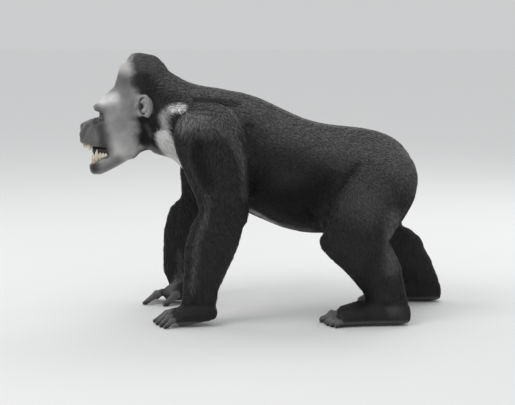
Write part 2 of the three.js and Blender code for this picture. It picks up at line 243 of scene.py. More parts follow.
studio = Tree(bpy.data.worlds.new("studio"))
bpy.context.scene.world = studio.owner
height = studio.node("SeparateXYZ", {0: studio.node("TexCoord").outputs["Generated"]}).outputs["Z"]
soft_box = studio.node("MapRange", {"Value": height, "From Min": 0.0, "From Max": 0.9,
                                    "To Min": 0.26, "To Max": 1.0})  # bright overhead and dim at the walls
light = studio.tree.nodes["Background"]
light.inputs["Color"].default_value = (0.97, 0.98, 1.0, 1)
studio.tree.links.new(soft_box.outputs["Result"], light.inputs["Strength"])
backdrop = studio.node("Background", {"Color": (*BACKDROP, 1)})
rays = studio.node("LightPath").outputs
seen = rays["Is Camera Ray"]  # the backdrop is for these rays, the soft box lights the rest
for kind in ("Is Glossy Ray", "Is Transmission Ray"):
    seen = studio.node("Math", {0: seen, 1: rays[kind]}, operation="MAXIMUM").outputs[0]
choice = studio.node("MixShader", {"Fac": seen, 1: light.outputs[0], 2: backdrop.outputs[0]})
studio.tree.links.new(choice.outputs[0], studio.tree.nodes["World Output"].inputs["Surface"])
print("floor", 2 * FLOOR_HALF, "m wide, and a world of", len(studio.tree.nodes), "nodes")


# %% Lamps
def lamp(name, place, size, power):
    """A square soft lamp that looks at the middle of the body. Its place is in metres."""
    made = shown(name, bpy.data.lights.new(name, "AREA"))
    made.data.size = size
    made.data.energy = power
    made.location = place
    made.rotation_euler = (Vector(TARGET) - made.location).to_track_quat("-Z", "Y").to_euler()


lamp("high_front", (-2.8, -2.2, 4.4), 2.2, 75)
lamp("high_back", (1.5, 3.0, 4.0), 2.4, 40)
lamp("side_tail", (4.2, 2.0, 2.2), 2.0, 30)
lamp("side_nose", (-4.4, 2.0, 2.2), 2.0, 26)
print("four lamps")

# %% [markdown]
# ## Flesh
# The solids are parted where a person names the parts, but a real body has no seams there. One skin is made
# over all of them: a voxel remesh, which fills the union of closed meshes with small cubes and wraps it in
# quads. The solids could be joined exactly instead, but then their sharp creases would stay. All quads of a
# remesh come out the same size, and a face needs finer ones than a back. So the head, the hands and the feet
# are first swollen like the bell of a trumpet, and after the remesh the same sum run backwards shrinks them
# again.

# %% The solids of flesh as one set of triangles
NOT_FLESH = ("eye_", "upper_teeth", "lower_teeth", "tongue")
LONGEST_EDGE = 14  # so that large flat faces can bend as they swell
flesh = sorted(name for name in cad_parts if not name.startswith(NOT_FLESH))


def triangles_of(node):
    """The node's triangles as an array of corner places: triangle, corner, coordinate."""
    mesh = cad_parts[node].data
    corners = read(mesh.loops, "vertex_index", 1, np.int32)
    return points_of(mesh)[corners].reshape(-1, 3, 3)


def split_long(triangles, longest):
    """Halves each triangle across its longest edge, again and again, until no edge is longer than allowed."""
    while True:
        edges = np.linalg.norm(triangles - np.roll(triangles, -1, axis=1), axis=2)
        long = edges.max(1) > longest
        if not long.any():
            return triangles
        first = edges[long].argmax(1)
        order = (first[:, None] + np.arange(3)) % 3
        a, b, c = np.moveaxis(np.take_along_axis(triangles[long], order[:, :, None], axis=1), 1, 0)
        middle = (a + b) / 2
        halves = [np.stack([a, middle, c], 1), np.stack([middle, b, c], 1)]
        triangles = np.concatenate([triangles[~long], *halves])


soup = np.concatenate([triangles_of(node) for node in flesh + ["eye_left", "eye_right"]])
soup = split_long(soup, LONGEST_EDGE)
print(len(flesh), "solids of flesh,", len(soup), "triangles after splitting")

# %% Swelling the head, hands and feet
LIMB_TOP = 560  # the height that parts head and trunk from the lower limbs
HEAD_SWELL, HEAD_AXIS_Z = 3.2, 880
LIMB_SWELL = 2.4
TABLE = np.arange(-1000.0, 1300.0)


def head_growth(x):
    """How much the head swells at each x: not at all at the neck, HEAD_SWELL times at the face."""
    return 1 + (HEAD_SWELL - 1) * ramp(-x, 400, 530)


def limb_growth(z):
    """How much a limb swells at each height: LIMB_SWELL times at hands and feet, not at all above them."""
    return 1 + (LIMB_SWELL - 1) * ramp(-z, -230, -120)


def running_sum(growth):
    """Where each entry of TABLE goes when every step along it grows by growth there, and 1000 stays put."""
    steps = growth(TABLE)
    moved = np.concatenate([[0], np.cumsum((steps[1:] + steps[:-1]) / 2)])
    return moved - np.interp(1000, TABLE, moved) + 1000


HEAD_TABLE = running_sum(head_growth)
LIMB_TABLE = running_sum(limb_growth)


def limb_centres(points):
    """The middle of the limb that each low point belongs to, told by the signs of x and y."""
    front, left = points[:, 0] < 0, points[:, 1] < 0
    x = np.where(front, np.where(left, -320, -420), np.where(left, 380, 635))
    y = np.where(left, -254, np.where(front, 170, 240))
    return np.stack([x, y], 1)


def swollen(points):
    """
    Above LIMB_TOP, upright slices of the head grow about its axis; below it, level slices of each limb grow
    about the limb's middle.
    """
    x, y, z = points.T
    grow = head_growth(x)
    head = [np.interp(x, TABLE, HEAD_TABLE), y * grow, HEAD_AXIS_Z + (z - HEAD_AXIS_Z) * grow]
    centre = limb_centres(points)
    limb = centre + (points[:, :2] - centre) * limb_growth(z)[:, None]
    limb = [limb[:, 0], limb[:, 1], np.interp(z, TABLE, LIMB_TABLE)]
    return np.where(z > LIMB_TOP, head, limb).T


def shrunk_back(points):
    """The inverse of swollen. The swollen head hangs lower than before, but above a line over the hands."""
    x, y, z = points.T
    line = np.interp(x, [-800, -760, -470, -440], [-2000, 220, 280, 560])
    old_x = np.interp(x, HEAD_TABLE, TABLE)
    grow = head_growth(old_x)
    head = [old_x, y / grow, HEAD_AXIS_Z + (z - HEAD_AXIS_Z) / grow]
    old_z = np.interp(z, LIMB_TABLE, TABLE)
    centre = limb_centres(points)
    limb = centre + (points[:, :2] - centre) / limb_growth(old_z)[:, None]
    return np.where(z > line, head, [limb[:, 0], limb[:, 1], old_z]).T


apart = np.abs(shrunk_back(swollen(soup[:, 0])) - soup[:, 0]).max()
print("swollen and shrunk back, a corner comes out within", round(float(apart), 2), "mm of its place")

# %% The remesh
VOXEL = 15.5
corners, index = np.unique(np.round(swollen(soup.reshape(-1, 3)), 3), axis=0, return_inverse=True)
faces = index.reshape(-1, 3)
faces = faces[(faces != np.roll(faces, 1, axis=1)).all(1)]  # without those that have closed to a line
lump = shown("lump", new_mesh("lump", corners, faces.tolist()))
remesh = lump.modifiers.new("remesh", "REMESH")
remesh.mode = "VOXEL"
remesh.voxel_size = VOXEL * PLAN
body_mesh = bpy.data.meshes.new_from_object(lump.evaluated_get(bpy.context.evaluated_depsgraph_get()))
bpy.data.objects.remove(lump)
move_points(body_mesh, shrunk_back(points_of(body_mesh)))
print("skin:", len(body_mesh.vertices), "points,", len(body_mesh.polygons), "quads")

# %% [markdown]
# ## Smooth flesh
# The solids are faceted, so their flat faces are relaxed away: each point moves half-way to the mean of its
# neighbours, again and again, by less on a finger than on a wide trunk. A Smooth modifier could do it, with
# weights that are painted by hand; a formula for the weights needs no painting. Relaxing also shrinks a body,
# as it would a balloon, so what it lost along its normals is given back, smoothed in turn. At last the skin
# goes in by the depth of the coat that will lie on it.


# %% Relaxing
EAR = np.array([-518.0, 104.0, 935.0])  # the middle of the right ear; the left is its mirror image


def web_of(mesh):
    """Each point's neighbours as one flat list, where each point's share of it starts, and how long it is."""
    edges = read(mesh.edges, "vertices", 2, np.int32)
    both = np.concatenate([edges, edges[:, ::-1]])
    both = both[np.argsort(both[:, 0], kind="stable")]
    count = np.bincount(both[:, 0], minlength=len(mesh.vertices))
    return both[:, 1], np.cumsum(count) - count, count


def relaxed(values, web, weights, rounds):
    """Each row moves towards the mean of its neighbours' rows, by half of weights at a time."""
    after, start, count = web
    step = 0.5 * weights[:, None]
    for _ in range(rounds):
        mean = np.add.reduceat(values[after], start) / count[:, None]
        values = values + step * (mean - values)
    return values


def softness(points):
    """How much each place is relaxed: the trunk most, then limbs and head, the ears, hands and feet least."""
    x, y, z = points.T
    high = z > LIMB_TOP
    soft = np.where(high, 1.0, 0.4)
    shoulder = ramp(np.abs(y), 120, 190) * (1 - ramp(x, -60, 60))
    soft = blend(soft, 0.32, np.maximum(shoulder, 1 - ramp(z, 420, 600)))
    hip = ramp(x, 200, 280) * (1 - ramp(z, 600, 760)) * ramp(np.abs(y), 60, 120)
    soft = blend(soft, 0.4, hip)
    soft = blend(soft, 0.3, ramp(-x, 400, 500) * high)  # head
    soft = blend(soft, 0.16, ramp(-x, 640, 700) * high)  # face
    ears = bell(np.hypot(x - EAR[0], z - EAR[2]), 75) * (np.abs(y) > 100)
    soft = blend(soft, 0.04, np.minimum(1, 2 * ears))
    return blend(0.045, soft, ramp(z, 90, 170))


ROUNDS = 60
web = web_of(body_mesh)
facets = points_of(body_mesh)
weights = softness(facets)
body = relaxed(facets, web, weights, ROUNDS)
move_points(body_mesh, body)
normals = normals_of(body_mesh)
lost = relaxed(dot(facets - body, normals), web, np.maximum(weights, 0.2), ROUNDS)
body = above_floor(body + lost * normals)
move_points(body_mesh, body)
furthest = np.linalg.norm(body - facets, axis=1).max()
print("relaxed; the furthest point moved", round(float(furthest), 1), "mm")

# %% [markdown]
# ## Modelling with strokes
# A sculptor models a clay body with strokes of the thumb. Here a stroke is a path of a few places, a radius
# and a height: each point near the path is lifted along its normal by the height, falling off as a bell to
# nothing at the radius, and a negative height carves. One row is one form, a muscle or a fold. Blender's
# sculpting brushes do the same by hand, but rows can be read, changed and run again. Rows are given for the
# side where y is positive and mirrored to the other. Limbs stand differently, so their rows are moved along x
# by the limb's lean.


# %% The stroke
def distance_to_path(points, path, radius):
    """Each point's distance to a path of straight pieces, and twice the radius where it is out of reach."""
    distance = np.full(len(points), 2.0 * radius)
    for start, end in zip(path, path[1:] if len(path) > 1 else path):
        low, high = np.minimum(start, end) - radius, np.maximum(start, end) + radius
        inside = np.flatnonzero(((points > low) & (points < high)).all(1))
        along = end - start
        away = points[inside] - start
        share = np.clip(away @ along / max(along @ along, 1e-9), 0, 1)[:, None]
        distance[inside] = np.minimum(distance[inside], np.linalg.norm(away - share * along, axis=1))
    return distance


def mirrored(path):
    """A path on both sides of the body, or once where it lies in the middle."""
    path = np.array(path, float).reshape(-1, 3)
    return [path] if not path[:, 1].any() else [path * (1, side, 1) for side in (1, -1)]


def modelled(mesh, strokes):
    """The mesh's points moved by (radius, height, path) strokes, all measured on the shape before them."""
    points, lift = points_of(mesh), 0
    for radius, height, path in strokes:
        lift = lift + height * bell(distance_to_path(points, path, radius), radius)
    points = above_floor(points + lift[:, None] * normals_of(mesh))
    move_points(mesh, points)
    return points


def both_sides(rows):
    """The rows of forms as strokes, each with its mirror image."""
    return [(radius, height, path) for radius, height, *places in rows for path in mirrored(places)]


def on_limbs(rows, leans):
    """The rows of a limb's forms, once for each side, moved along x by that side's lean at their height."""
    made = []
    for side, lean in leans.items():
        heights, shifts = np.transpose(lean)
        for radius, height, *places in rows:
            path = np.array(places, float)
            path[:, 0] += np.interp(path[:, 2], heights, shifts)
            made.append((radius, height, path * (1, side, 1)))
    return made


# %% Trunk and neck
TRUNK_FORMS = [
    (28, -19, (-345, 190, 905), (-322, 208, 936), (-272, 205, 950), (-208, 200, 950), (-153, 190, 950),
     (-102, 170, 960)),  # groove along the top of the shoulder
    (24, -8, (-102, 170, 960), (-8, 150, 951), (60, 120, 930)),
    (30, -22, (-384, 176, 740), (-402, 178, 807), (-397, 182, 846), (-374, 190, 890), (-345, 190, 905)),
    (22, 6, (-446, 128, 940), (-425, 140, 890), (-408, 150, 845)),  # the long muscle at the side of the neck
    (18, 6, (-380, 165, 956), (-345, 178, 936)),
    (60, 6, (-400, 110, 1000), (-300, 140, 1000), (-200, 150, 985)),  # from the neck to the shoulder
    (30, -26, (-66, 205, 850), (-44, 218, 790), (-42, 224, 710), (-46, 224, 630), (-60, 215, 570)),  # armpit
    (45, 7, (-70, 150, 955), (-45, 190, 900), (-20, 215, 840)),  # rear edge of the shoulder blade
    (50, -5, (40, 165, 905), (60, 200, 845)),
    (60, 5, (-20, 228, 760), (60, 238, 690), (150, 238, 620)),  # the broad muscle of the back
    (60, -5, (120, 215, 560), (240, 205, 520)),
    (34, -5, (-150, 0, 1005), (100, 0, 915), (300, 0, 850), (450, 0, 835)),  # groove over the spine
    (44, 4, (-100, 60, 990), (100, 66, 905), (300, 66, 848), (450, 60, 832)),  # long muscles beside the spine
    (50, 6, (430, 150, 800), (480, 170, 770)),  # hip bone
    (32, -24, (640, 0, 745), (672, 0, 650), (655, 0, 560), (600, 0, 470)),  # between the buttocks
    (110, 9, (600, 105, 650)),
    (30, -24, (404, 205, 684), (336, 226, 584), (272, 230, 484), (242, 214, 400)),  # fold before the thigh
    (22, -9, (176, 205, 520), (226, 190, 447)),  # groin
    (80, 8, (430, 240, 600), (380, 250, 520)),
    (40, -7, (-300, 0, 640), (-160, 0, 498)),  # breastbone
    (60, 9, (-300, 80, 640), (-200, 100, 560)),  # breast muscles
    (60, -13, (-540, 0, 722), (-530, 60, 730)),  # the throat, cut in behind the jaw
]
print(len(TRUNK_FORMS), "forms of the trunk")

# %% Limbs
ARM_FORMS = [
    (26, 9, (-286, 345, 862), (-306, 352, 760), (-292, 350, 652), (-243, 345, 582)),  # front of the shoulder
    (56, -6, (-215, 350, 780), (-195, 350, 660)),
    (30, 7, (-286, 340, 880), (-220, 335, 925), (-150, 325, 912)),  # cap of the shoulder
    (26, 4, (-150, 330, 900), (-117, 342, 853), (-92, 340, 758), (-71, 330, 652)),
    (50, 6, (-340, 250, 760), (-325, 255, 680), (-300, 258, 600)),  # biceps
    (34, -8, (-292, 240, 500), (-282, 300, 492)),  # bend of the elbow
    (36, 10, (-72, 264, 505), (-72, 264, 455)),  # point of the elbow
    (24, 8, (-243, 345, 582), (-262, 338, 493), (-286, 333, 407), (-296, 318, 275), (-307, 300, 120)),
    (46, 6, (-150, 318, 430), (-170, 312, 340)),  # muscles that lift the hand
    (30, -4, (-226, 330, 440), (-236, 322, 340), (-246, 312, 240)),
    (20, 3, (-120, 250, 350), (-150, 248, 250), (-185, 250, 170)),
]
LEG_FORMS = [
    (60, 6, (335, 250, 600), (285, 262, 500)),  # front of the thigh
    (34, -5, (470, 275, 640), (430, 285, 520), (400, 292, 430)),
    (44, 6, (600, 240, 640), (590, 255, 540), (545, 258, 440)),  # hamstring
    (34, 8, (240, 212, 375), (242, 212, 340)),  # kneecap
    (26, -5, (268, 272, 372)),
    (24, -9, (556, 190, 365), (548, 250, 358)),  # fold behind the knee
    (46, 6, (560, 240, 310), (590, 240, 250)),  # calf
    (20, 4, (262, 214, 320), (340, 218, 240), (420, 228, 160)),  # shin
    (24, 9, (528, 282, 112)),  # outer ankle bone
    (22, 7, (520, 196, 118)),
    (26, -7, (590, 266, 128), (590, 214, 128)),
]
FAR_LIMB_FORMS = [
    (56, 13, (-424, 262, 430), (-448, 260, 330), (-452, 256, 220), (-452, 255, 150)),  # forearm
    (82, 28, (668, 214, 322), (692, 222, 296)),  # calf, drawn up as the heel presses back
    (60, 8, (730, 226, 262), (765, 228, 210)),
]
STRAIGHT = [(0, 0)]  # a lean is a list of heights and of how far the limb is moved along x there
ARM_LEAN = {-1: STRAIGHT,
            1: [(100, -88), (160, -112), (470, -110), (520, -102), (600, -84), (690, -30), (860, 0)]}
LEG_LEAN = {-1: STRAIGHT, 1: [(96, 196), (130, 194), (227, 166), (274, 129), (350, 92), (740, 0)]}
strokes = both_sides(TRUNK_FORMS) + on_limbs(ARM_FORMS, ARM_LEAN) + on_limbs(LEG_FORMS, LEG_LEAN)
strokes += on_limbs(FAR_LIMB_FORMS, {1: STRAIGHT})
modelled(body_mesh, strokes)
print(len(strokes), "strokes on trunk and limbs")

# %% [markdown]
# ## The head
# A gorilla's skull is built round its chewing muscles: they rise at the temples to a crest on top, and bulge
# below the cheekbone. The brow is a bony shelf, and the eyes lie deep under it. Broad strokes come first,
# while the quads are still coarse. Then the quads of the face and ears are halved, so that folds and lids
# have points to lie on.

# %% Broad forms of the head
BROW_ENDS = [(-694, 98, 912), (-694, 98, 888)]  # where the shelf of the brow turns down into the cheekbone
HEAD_FORMS = [
    (36, 10, (-668, 94, 940), (-684, 96, 915), (-690, 96, 890), (-690, 94, 868)),
    (24, 6, (-694, 92, 872), (-706, 80, 856), (-722, 62, 848)),
    (40, 11, (-712, 38, 892)),  # the lids bulge over the eyes
    (30, 5, (-706, 70, 890)),
    (22, -11, (-734, 34, 872), (-722, 58, 845), (-712, 74, 815), (-700, 84, 775), (-691, 90, 735),
     (-688, 88, 702)),  # between muzzle and cheek
    (40, -23, (-608, 0, 1135)),  # front corner of the crest
    (38, -9, (-462, 0, 1138)),
    (28, 6, (-690, 97, 868), (-650, 104, 880), (-590, 106, 892)),  # cheekbone
    (34, -5, (-640, 100, 828), (-610, 100, 834)),
    (46, 6, (-672, 96, 800), (-662, 98, 770)),  # cheek
    (58, 9, (-600, 92, 772)),  # chewing muscle
    (24, -9, (-523, 105, 883), (-502, 108, 839), (-516, 102, 786), (-536, 92, 751)),  # behind the jaw
    (60, -12, (-654, 102, 972), (-610, 104, 985)),  # temple
    (30, -5, (-744, 0, 948), (-738, 50, 946)),  # the slope above the brow
    (56, 10, (-585, 36, 1112), (-540, 40, 1118), (-480, 42, 1100)),  # the crest, broad on both sides
    (40, 5, (-600, 92, 1010), (-560, 98, 990)),
    (14, 7, (-804, 12, 846), (-796, 28, 851), (-782, 40, 852)),  # arch over the nostril
    (15, 8, (-798, 42, 804), (-798, 48, 816), (-792, 50, 828), (-780, 48, 844)),  # wing of the nose
    (20, -7, (-816, 20, 792), (-814, 0, 790)),
    (13, -8, (-760, 52, 850), (-776, 60, 830), (-786, 60, 806), (-796, 46, 786)),  # round that wing
    (24, -8, (-812, 0, 820), (-812, 0, 770)),  # the front of the muzzle
    (12, 4, (-806, 0, 756), (-800, 30, 753), (-770, 52, 752), (-735, 66, 748), (-704, 80, 738),
     (-688, 86, 722)),  # upper lip
    (12, 4, (-768, 0, 690), (-758, 26, 690), (-735, 46, 697), (-706, 64, 706), (-688, 80, 714)),  # lower lip
    (18, -6, (-752, 0, 664), (-744, 30, 666), (-722, 48, 674)),  # below the lower lip
]
CHEEK_BACKS = [(-552, 100, 965), (-552, 100, 870), (-548, 100, 770)]  # the rear edges of the flat cheeks
CORNER_RADIUS, CORNER_ROUNDS = 52, 60
web = web_of(body_mesh)
points = points_of(body_mesh)
for path in mirrored(BROW_ENDS) + mirrored(CHEEK_BACKS):
    near_path = bell(distance_to_path(points, path, CORNER_RADIUS), CORNER_RADIUS)
    points = relaxed(points, web, near_path, CORNER_ROUNDS)
move_points(body_mesh, points)
modelled(body_mesh, both_sides(HEAD_FORMS))
print(len(HEAD_FORMS), "forms of the head")


# %% Lips drawn back from the teeth
UPPER_LIP = [(-798, 12, 750), (-790, 36, 748), (-765, 52, 746), (-735, 66, 744), (-708, 76, 738)]
LOWER_LIP = [(-766, 12, 690), (-758, 26, 690), (-738, 44, 696)]


def pulled(mesh, path, radius, move):
    """The points near a path, and near its mirror image, moved by one vector that falls off as a bell."""
    points = points_of(mesh)
    for each in mirrored(path):
        points = points + np.outer(bell(distance_to_path(points, each, radius), radius), move)
    move_points(mesh, points)


pulled(body_mesh, UPPER_LIP, 26, (0, 0, 11))
pulled(body_mesh, LOWER_LIP, 24, (0, 0, -13))
print("lips drawn back")


# %% Finer quads for the face and ears
HEAD_LOW = 600  # face and ears are all above this height
EYE, EYE_RADIUS = np.array([-706.0, 37.0, 892.0]), 12.5


def finer(mesh, where):
    """Halves every edge that lies wholly where the function says, and relaxes the new points a little."""
    points = points_of(mesh)
    chosen = where(points)
    grid = bmesh.new()
    grid.from_mesh(mesh)
    edges = [e for e in grid.edges if chosen[e.verts[0].index] and chosen[e.verts[1].index]]
    bmesh.ops.subdivide_edges(grid, edges=edges, cuts=1, use_grid_fill=True)
    grid.to_mesh(mesh)
    grid.free()
    mesh.update()
    points = points_of(mesh)
    move_points(mesh, relaxed(points, web_of(mesh), where(points) * 0.8, 3))


def on_face(points):
    """True on the face, from the muzzle to behind the eyes, and on the ears."""
    x, y, z = points.T
    face = (x < -672) & (z > HEAD_LOW) | (z < 965) & (z > 838) & (x < -655)
    ears = (np.hypot(x - EAR[0], z - EAR[2]) < 62) & (np.abs(y) > 88)
    return face | ears


def on_eyes(points):
    """True within 27 mm of the middle of an eye."""
    return np.linalg.norm(points * (1, 0, 1) + np.abs(points) * (0, 1, 0) - EYE, axis=1) < 27


finer(body_mesh, on_face)
finer(body_mesh, on_eyes)
print("skin:", len(body_mesh.vertices), "points,", len(body_mesh.polygons), "faces")

# %% Folds of the face
FACE_FOLDS = [
    (14, -17, (-816, 18, 812), (-812, 27, 822)),  # nostril
    (9, -9, (-810, 30, 829), (-802, 35, 837), (-792, 38, 842)),
    (8, -3, (-812, 0, 804), (-808, 0, 786)),  # groove below the nose
    (9, 3, (-800, 0, 762), (-796, 34, 760), (-770, 53, 760), (-738, 66, 758), (-712, 76, 752)),  # edge of lip
    (8, -4, (-770, 48, 862), (-752, 58, 838), (-738, 66, 820)),  # snarl folds beside the nose
    (8, -3, (-756, 44, 872), (-740, 54, 852), (-728, 64, 832)),
    (8, -3, (-774, 56, 822), (-758, 64, 806), (-748, 68, 792)),
    (7, -2.5, (-712, 84, 846), (-700, 90, 822), (-692, 94, 796)),  # fine folds on the cheek
    (7, -2.5, (-690, 98, 850), (-680, 100, 822), (-676, 100, 796)),
    (7, -2, (-742, 12, 958), (-722, 44, 962), (-700, 70, 966)),  # furrows of the forehead
    (7, -2, (-722, 8, 982), (-702, 40, 986), (-684, 62, 988)),
    (7, -2, (-700, 8, 1006), (-682, 34, 1008), (-668, 52, 1010)),
    (7, -3, (-745, 10, 884), (-742, 0, 880)),  # creases across the root of the nose
    (7, -3, (-752, 12, 876), (-752, 0, 873)),
    (7, 2, (-748, 12, 880), (-748, 0, 877)),
    (8, 3, (-725, 22, 878), (-716, 40, 872), (-704, 56, 876)),  # bag under the eye
    (7, -3, (-728, 24, 868), (-718, 42, 862), (-704, 62, 866)),
    (9, -2.5, (-730, 0, 934), (-722, 30, 936), (-708, 58, 934), (-694, 82, 926)),  # creases along the brow
    (9, -2, (-716, 0, 958), (-706, 34, 958), (-690, 62, 954)),
    (9, 3, (-743, 16, 914), (-737, 40, 914), (-722, 66, 910), (-704, 86, 900)),  # hooded edge over the eye
    (8, -4, (-728, 30, 901), (-716, 50, 902), (-702, 66, 896)),
    (8, -3, (-690, 92, 745), (-681, 94, 722), (-682, 92, 700), (-690, 86, 682)),  # round the mouth's corner
    (7, -2, (-680, 96, 760), (-668, 98, 730), (-668, 97, 700)),
]
points = modelled(body_mesh, both_sides(FACE_FOLDS))
print(len(FACE_FOLDS), "folds of the face")

# %% [markdown]
# ## Ears
# An ear is a sheet of gristle rolled over at its rim, with a ridge inside the roll and a deep hollow in
# front. The solids give only its outline. A sculptor would cut the rest by hand. Here it is a formula in the
# ear's own two directions, forwards and up, so that both ears come out alike.


# %% Relief of the ears
EAR_LONG, EAR_HIGH = 34, 51  # half sizes
EAR_TURN = math.radians(20)  # its rear edge stands off the head


def ear_relief(points, normals, side):
    """
    How far each point of an ear stands out. Across the ear, a and b run from -1 to 1, forwards and up, and
    their length is 0 in the middle and 1 at the rim: a rolled rim, a groove inside it, a ridge, and the deep
    hollow in front.
    """
    forwards = np.array([-math.cos(EAR_TURN), -side * math.sin(EAR_TURN), 0])
    outwards = np.array([-math.sin(EAR_TURN), side * math.cos(EAR_TURN), 0])
    away = points - EAR * (1, side, 1)
    a, b, out = away @ forwards / EAR_LONG, away[:, 2] / EAR_HIGH, away @ outwards
    rim = np.hypot(a, b)
    behind = ramp(0.75 - a, 0, 0.35)
    height = 4.0 * bell(rim - 0.88, 0.2) * behind - 4.5 * bell(rim - 0.66, 0.2) * behind
    height += 4.0 * bell(rim - 0.42, 0.2) * ramp(0.35 - a, 0, 0.4)
    height -= 10.0 * bell(np.hypot(a - 0.42, b + 0.08), 0.42)
    height += 6.0 * bell(np.hypot((a - 0.95) * 1.3, b + 0.1), 0.4)
    height -= 2.5 * bell(np.hypot((a + 0.05) * 0.8, b - 0.32), 0.28)
    here = (rim < 1.15) & (np.abs(out) < 24) & (normals @ outwards > 0.1)
    return np.outer(height * here, outwards)


normals = normals_of(body_mesh)
for side in SIDES.values():
    points = points + ear_relief(points, normals, side)
move_points(body_mesh, points)
print("ears made")

# %% [markdown]
# ## Eyelids
# An eyelid is a fold of skin that lies on the ball of the eye. So the skin near each eye is put on a sphere a
# little larger than the eye, and inside the almond of the opening it sinks behind the eye's surface. The edge
# of the lid is then the line where the skin passes through the ball, which is smooth however coarse the quads
# are. A lid could also be a strip of its own, but its root would show as a crack in the skin.


# %% Lids
LID_THICK = 1.6
GAZE = unit(np.array([-0.93, 0.34, -0.06]))  # of the right eye
SUNK = 0.86 * EYE_RADIUS  # where skin inside the opening goes, under the eye's surface


def lidded(points, side):
    """
    Points round one eye, put at a distance from its middle: the ball's radius and the lid's thickness outside
    the almond, 0.86 of the radius inside it. The almond is 48 degrees wide to each side, 22 up and 17 down.
    """
    gaze = GAZE * (1, side, 1)
    up = unit(UP - gaze[2] * gaze)
    across = np.cross(up, gaze) * side
    away = points - EYE * (1, side, 1)
    distance = np.linalg.norm(away, axis=1)
    front = away @ gaze / np.maximum(distance, 1e-6)
    wide = np.degrees(np.arctan2(away @ across, away @ gaze))
    high = np.degrees(np.arctan2(away @ up, away @ gaze)) - 0.04 * wide
    almond = np.abs(high) / np.where(high > 0, 22, 17) + (wide / 48) ** 2
    edge = 2.4 * bell(almond - 1.25, 0.4)  # the lid is thickest at its edge
    lid = EYE_RADIUS + LID_THICK + edge + 0.055 * np.maximum(almond - 1.6, 0) ** 1.5 * 4
    wanted = np.where(front > 0, blend(SUNK, lid, ramp(almond, 0.82, 1.12)), distance)
    near = (distance < 30) & (front > 0.15)
    share = near * (1 - ramp(distance, 19, 29)) * ramp(front, 0.15, 0.5)
    share = np.where(almond < 1.3, near * ramp(front, 0.15, 0.4), share)
    return points + (unit(away) * (wanted - distance)[:, None]) * share[:, None]


for side in SIDES.values():
    points = lidded(points, side)
move_points(body_mesh, points)
print("lids made")

# %% [markdown]
# ## Fingers and toes
# The animal leans on flat hands and feet. Each digit runs from a place inside the palm or sole, arches over
# its middle joint, and ends in a pad on the floor. Their places are worked out once from the plan, and serve
# for the knuckles, for the bare skin and for the nails. Twenty digits could be placed one by one, but the
# hands are alike and so are the feet, so ten rows and two turns do for all.

# %% Places of the digits
# each hand or foot: its x, its distance from the middle, and its turn in degrees
HANDS = {"left": (-283, 258, 6), "right": (-362, 208, 2)}
FEET = {"left": (545, 250, 3), "right": (741, 240, 3)}
# each digit: its start, the x and y of its end, how high it arches, and how thick its tip is
FINGERS = [((-84, -46, 58), (-192, -64), 8, 12), ((-92, -18, 55), (-182, -16), 10, 12.5),
           ((-94, 12, 46), (-168, 26), 9, 12), ((-88, 40, 34), (-150, 60), 7, 11),
           ((-10, -42, 56), (-94, -98), 3, 15)]
TOES = [((-204, -42, 36), (-299, -60), 8, 18), ((-222, -14, 26), (-284, -20), 7, 12),
        ((-222, 8, 25), (-279, 8), 6, 11.5), ((-218, 28, 24), (-266, 34), 6, 11),
        ((-208, 47, 22), (-246, 57), 5, 11)]


def set_down(side, place, local):
    """Places of a hand or foot, turned about the upright and moved to where it stands."""
    x, y, turn = place
    turn = math.radians(-turn) * side
    a, b, c = (np.array(local, float) * (1, side, 1)).T
    spun = [a * math.cos(turn) - b * math.sin(turn), a * math.sin(turn) + b * math.cos(turn), c]
    return np.stack(spun, 1) + (x, side * y, 0)


def digit_path(side, place, start, end, rise, tip):
    """Three places of a digit: its start, its raised middle joint and its tip."""
    middle = [(start[0] + end[0]) / 2, (start[1] + end[1]) / 2, (start[2] + tip) / 2 + rise]
    return set_down(side, place, [start, middle, [end[0], end[1], 0.4 * tip]])


DIGITS = [(digit_path(side, place, *digit), digit[3])
          for name, side in SIDES.items()
          for place, digits in ((HANDS[name], FINGERS), (FEET[name], TOES)) for digit in digits]
print(len(DIGITS), "digits, the first from", DIGITS[0][0][0].round(), "to", DIGITS[0][0][2].round())

# %% Knuckles and pads
knuckles = []
for path, tip in DIGITS:
    start, middle, end = path[:1], path[1:2], path[2:]
    over = np.array([0, 0, 0.8 * tip])
    knuckles.append((1.3 * tip, 0.16 * tip, middle + over))
    knuckles.append((0.8 * tip, -0.07 * tip, (middle * 0.55 + end * 0.45) + over))
    knuckles.append((1.5 * tip, 0.10 * tip, end))
modelled(body_mesh, knuckles)
print(len(knuckles), "strokes on the digits")

# %% [markdown]
# ## Markings
# An adult male is charcoal black. His face and ears are bare grey skin, a little paler on the cheeks and
# darker on the muzzle, with a painted highlight on the brow and the front of the crest. The hair begins
# behind a line
# from the crest to the ears, and is silvery grey on the back. Light and shade are painted into the colour
# too:
# painted highlights along the top of the neck and crest, on the shoulder, the forearm, the belly, the back of
# the thigh and the heels, brightest in a wedge at the side of the neck, and painted shade in the grooves, on
# the flanks, on the fronts of the upper arm and shin, under the jaw, and in the folds, sockets, nostrils and
# mouth of the face. Markings could be painted by hand on a flat map. One function that gives the colour for
# any place on the body is better here, because skin and coat then carry the same marks.


# %% Colours for any place
def grey(level, warmth=0.0):
    """A linear colour from a level on the 0 to 255 scale of a screen, a little warmer or cooler than grey."""
    linear = ((level / 255 + 0.055) / 1.055) ** 2.4
    return np.array([linear * (1 + warmth), linear, linear * (1 - warmth)])


def mixed(colour, other, share):
    """Rows of colours moved towards another colour by a share for each row."""
    return blend(colour, other, np.clip(share, 0, 1)[:, None])


def near(points, path, radius):
    """1 on a path and 0 beyond its radius, on both sides. A path of x and z is one seen from the side."""
    path = np.array(path, float)
    if path.shape[1] == 2:
        return bell(distance_to_path(points * (1, 0, 1), np.insert(path, 1, 0, 1), radius), radius)
    folded = np.stack([points[:, 0], np.abs(points[:, 1]), points[:, 2]], 1)
    return bell(distance_to_path(folded, path, radius), radius)


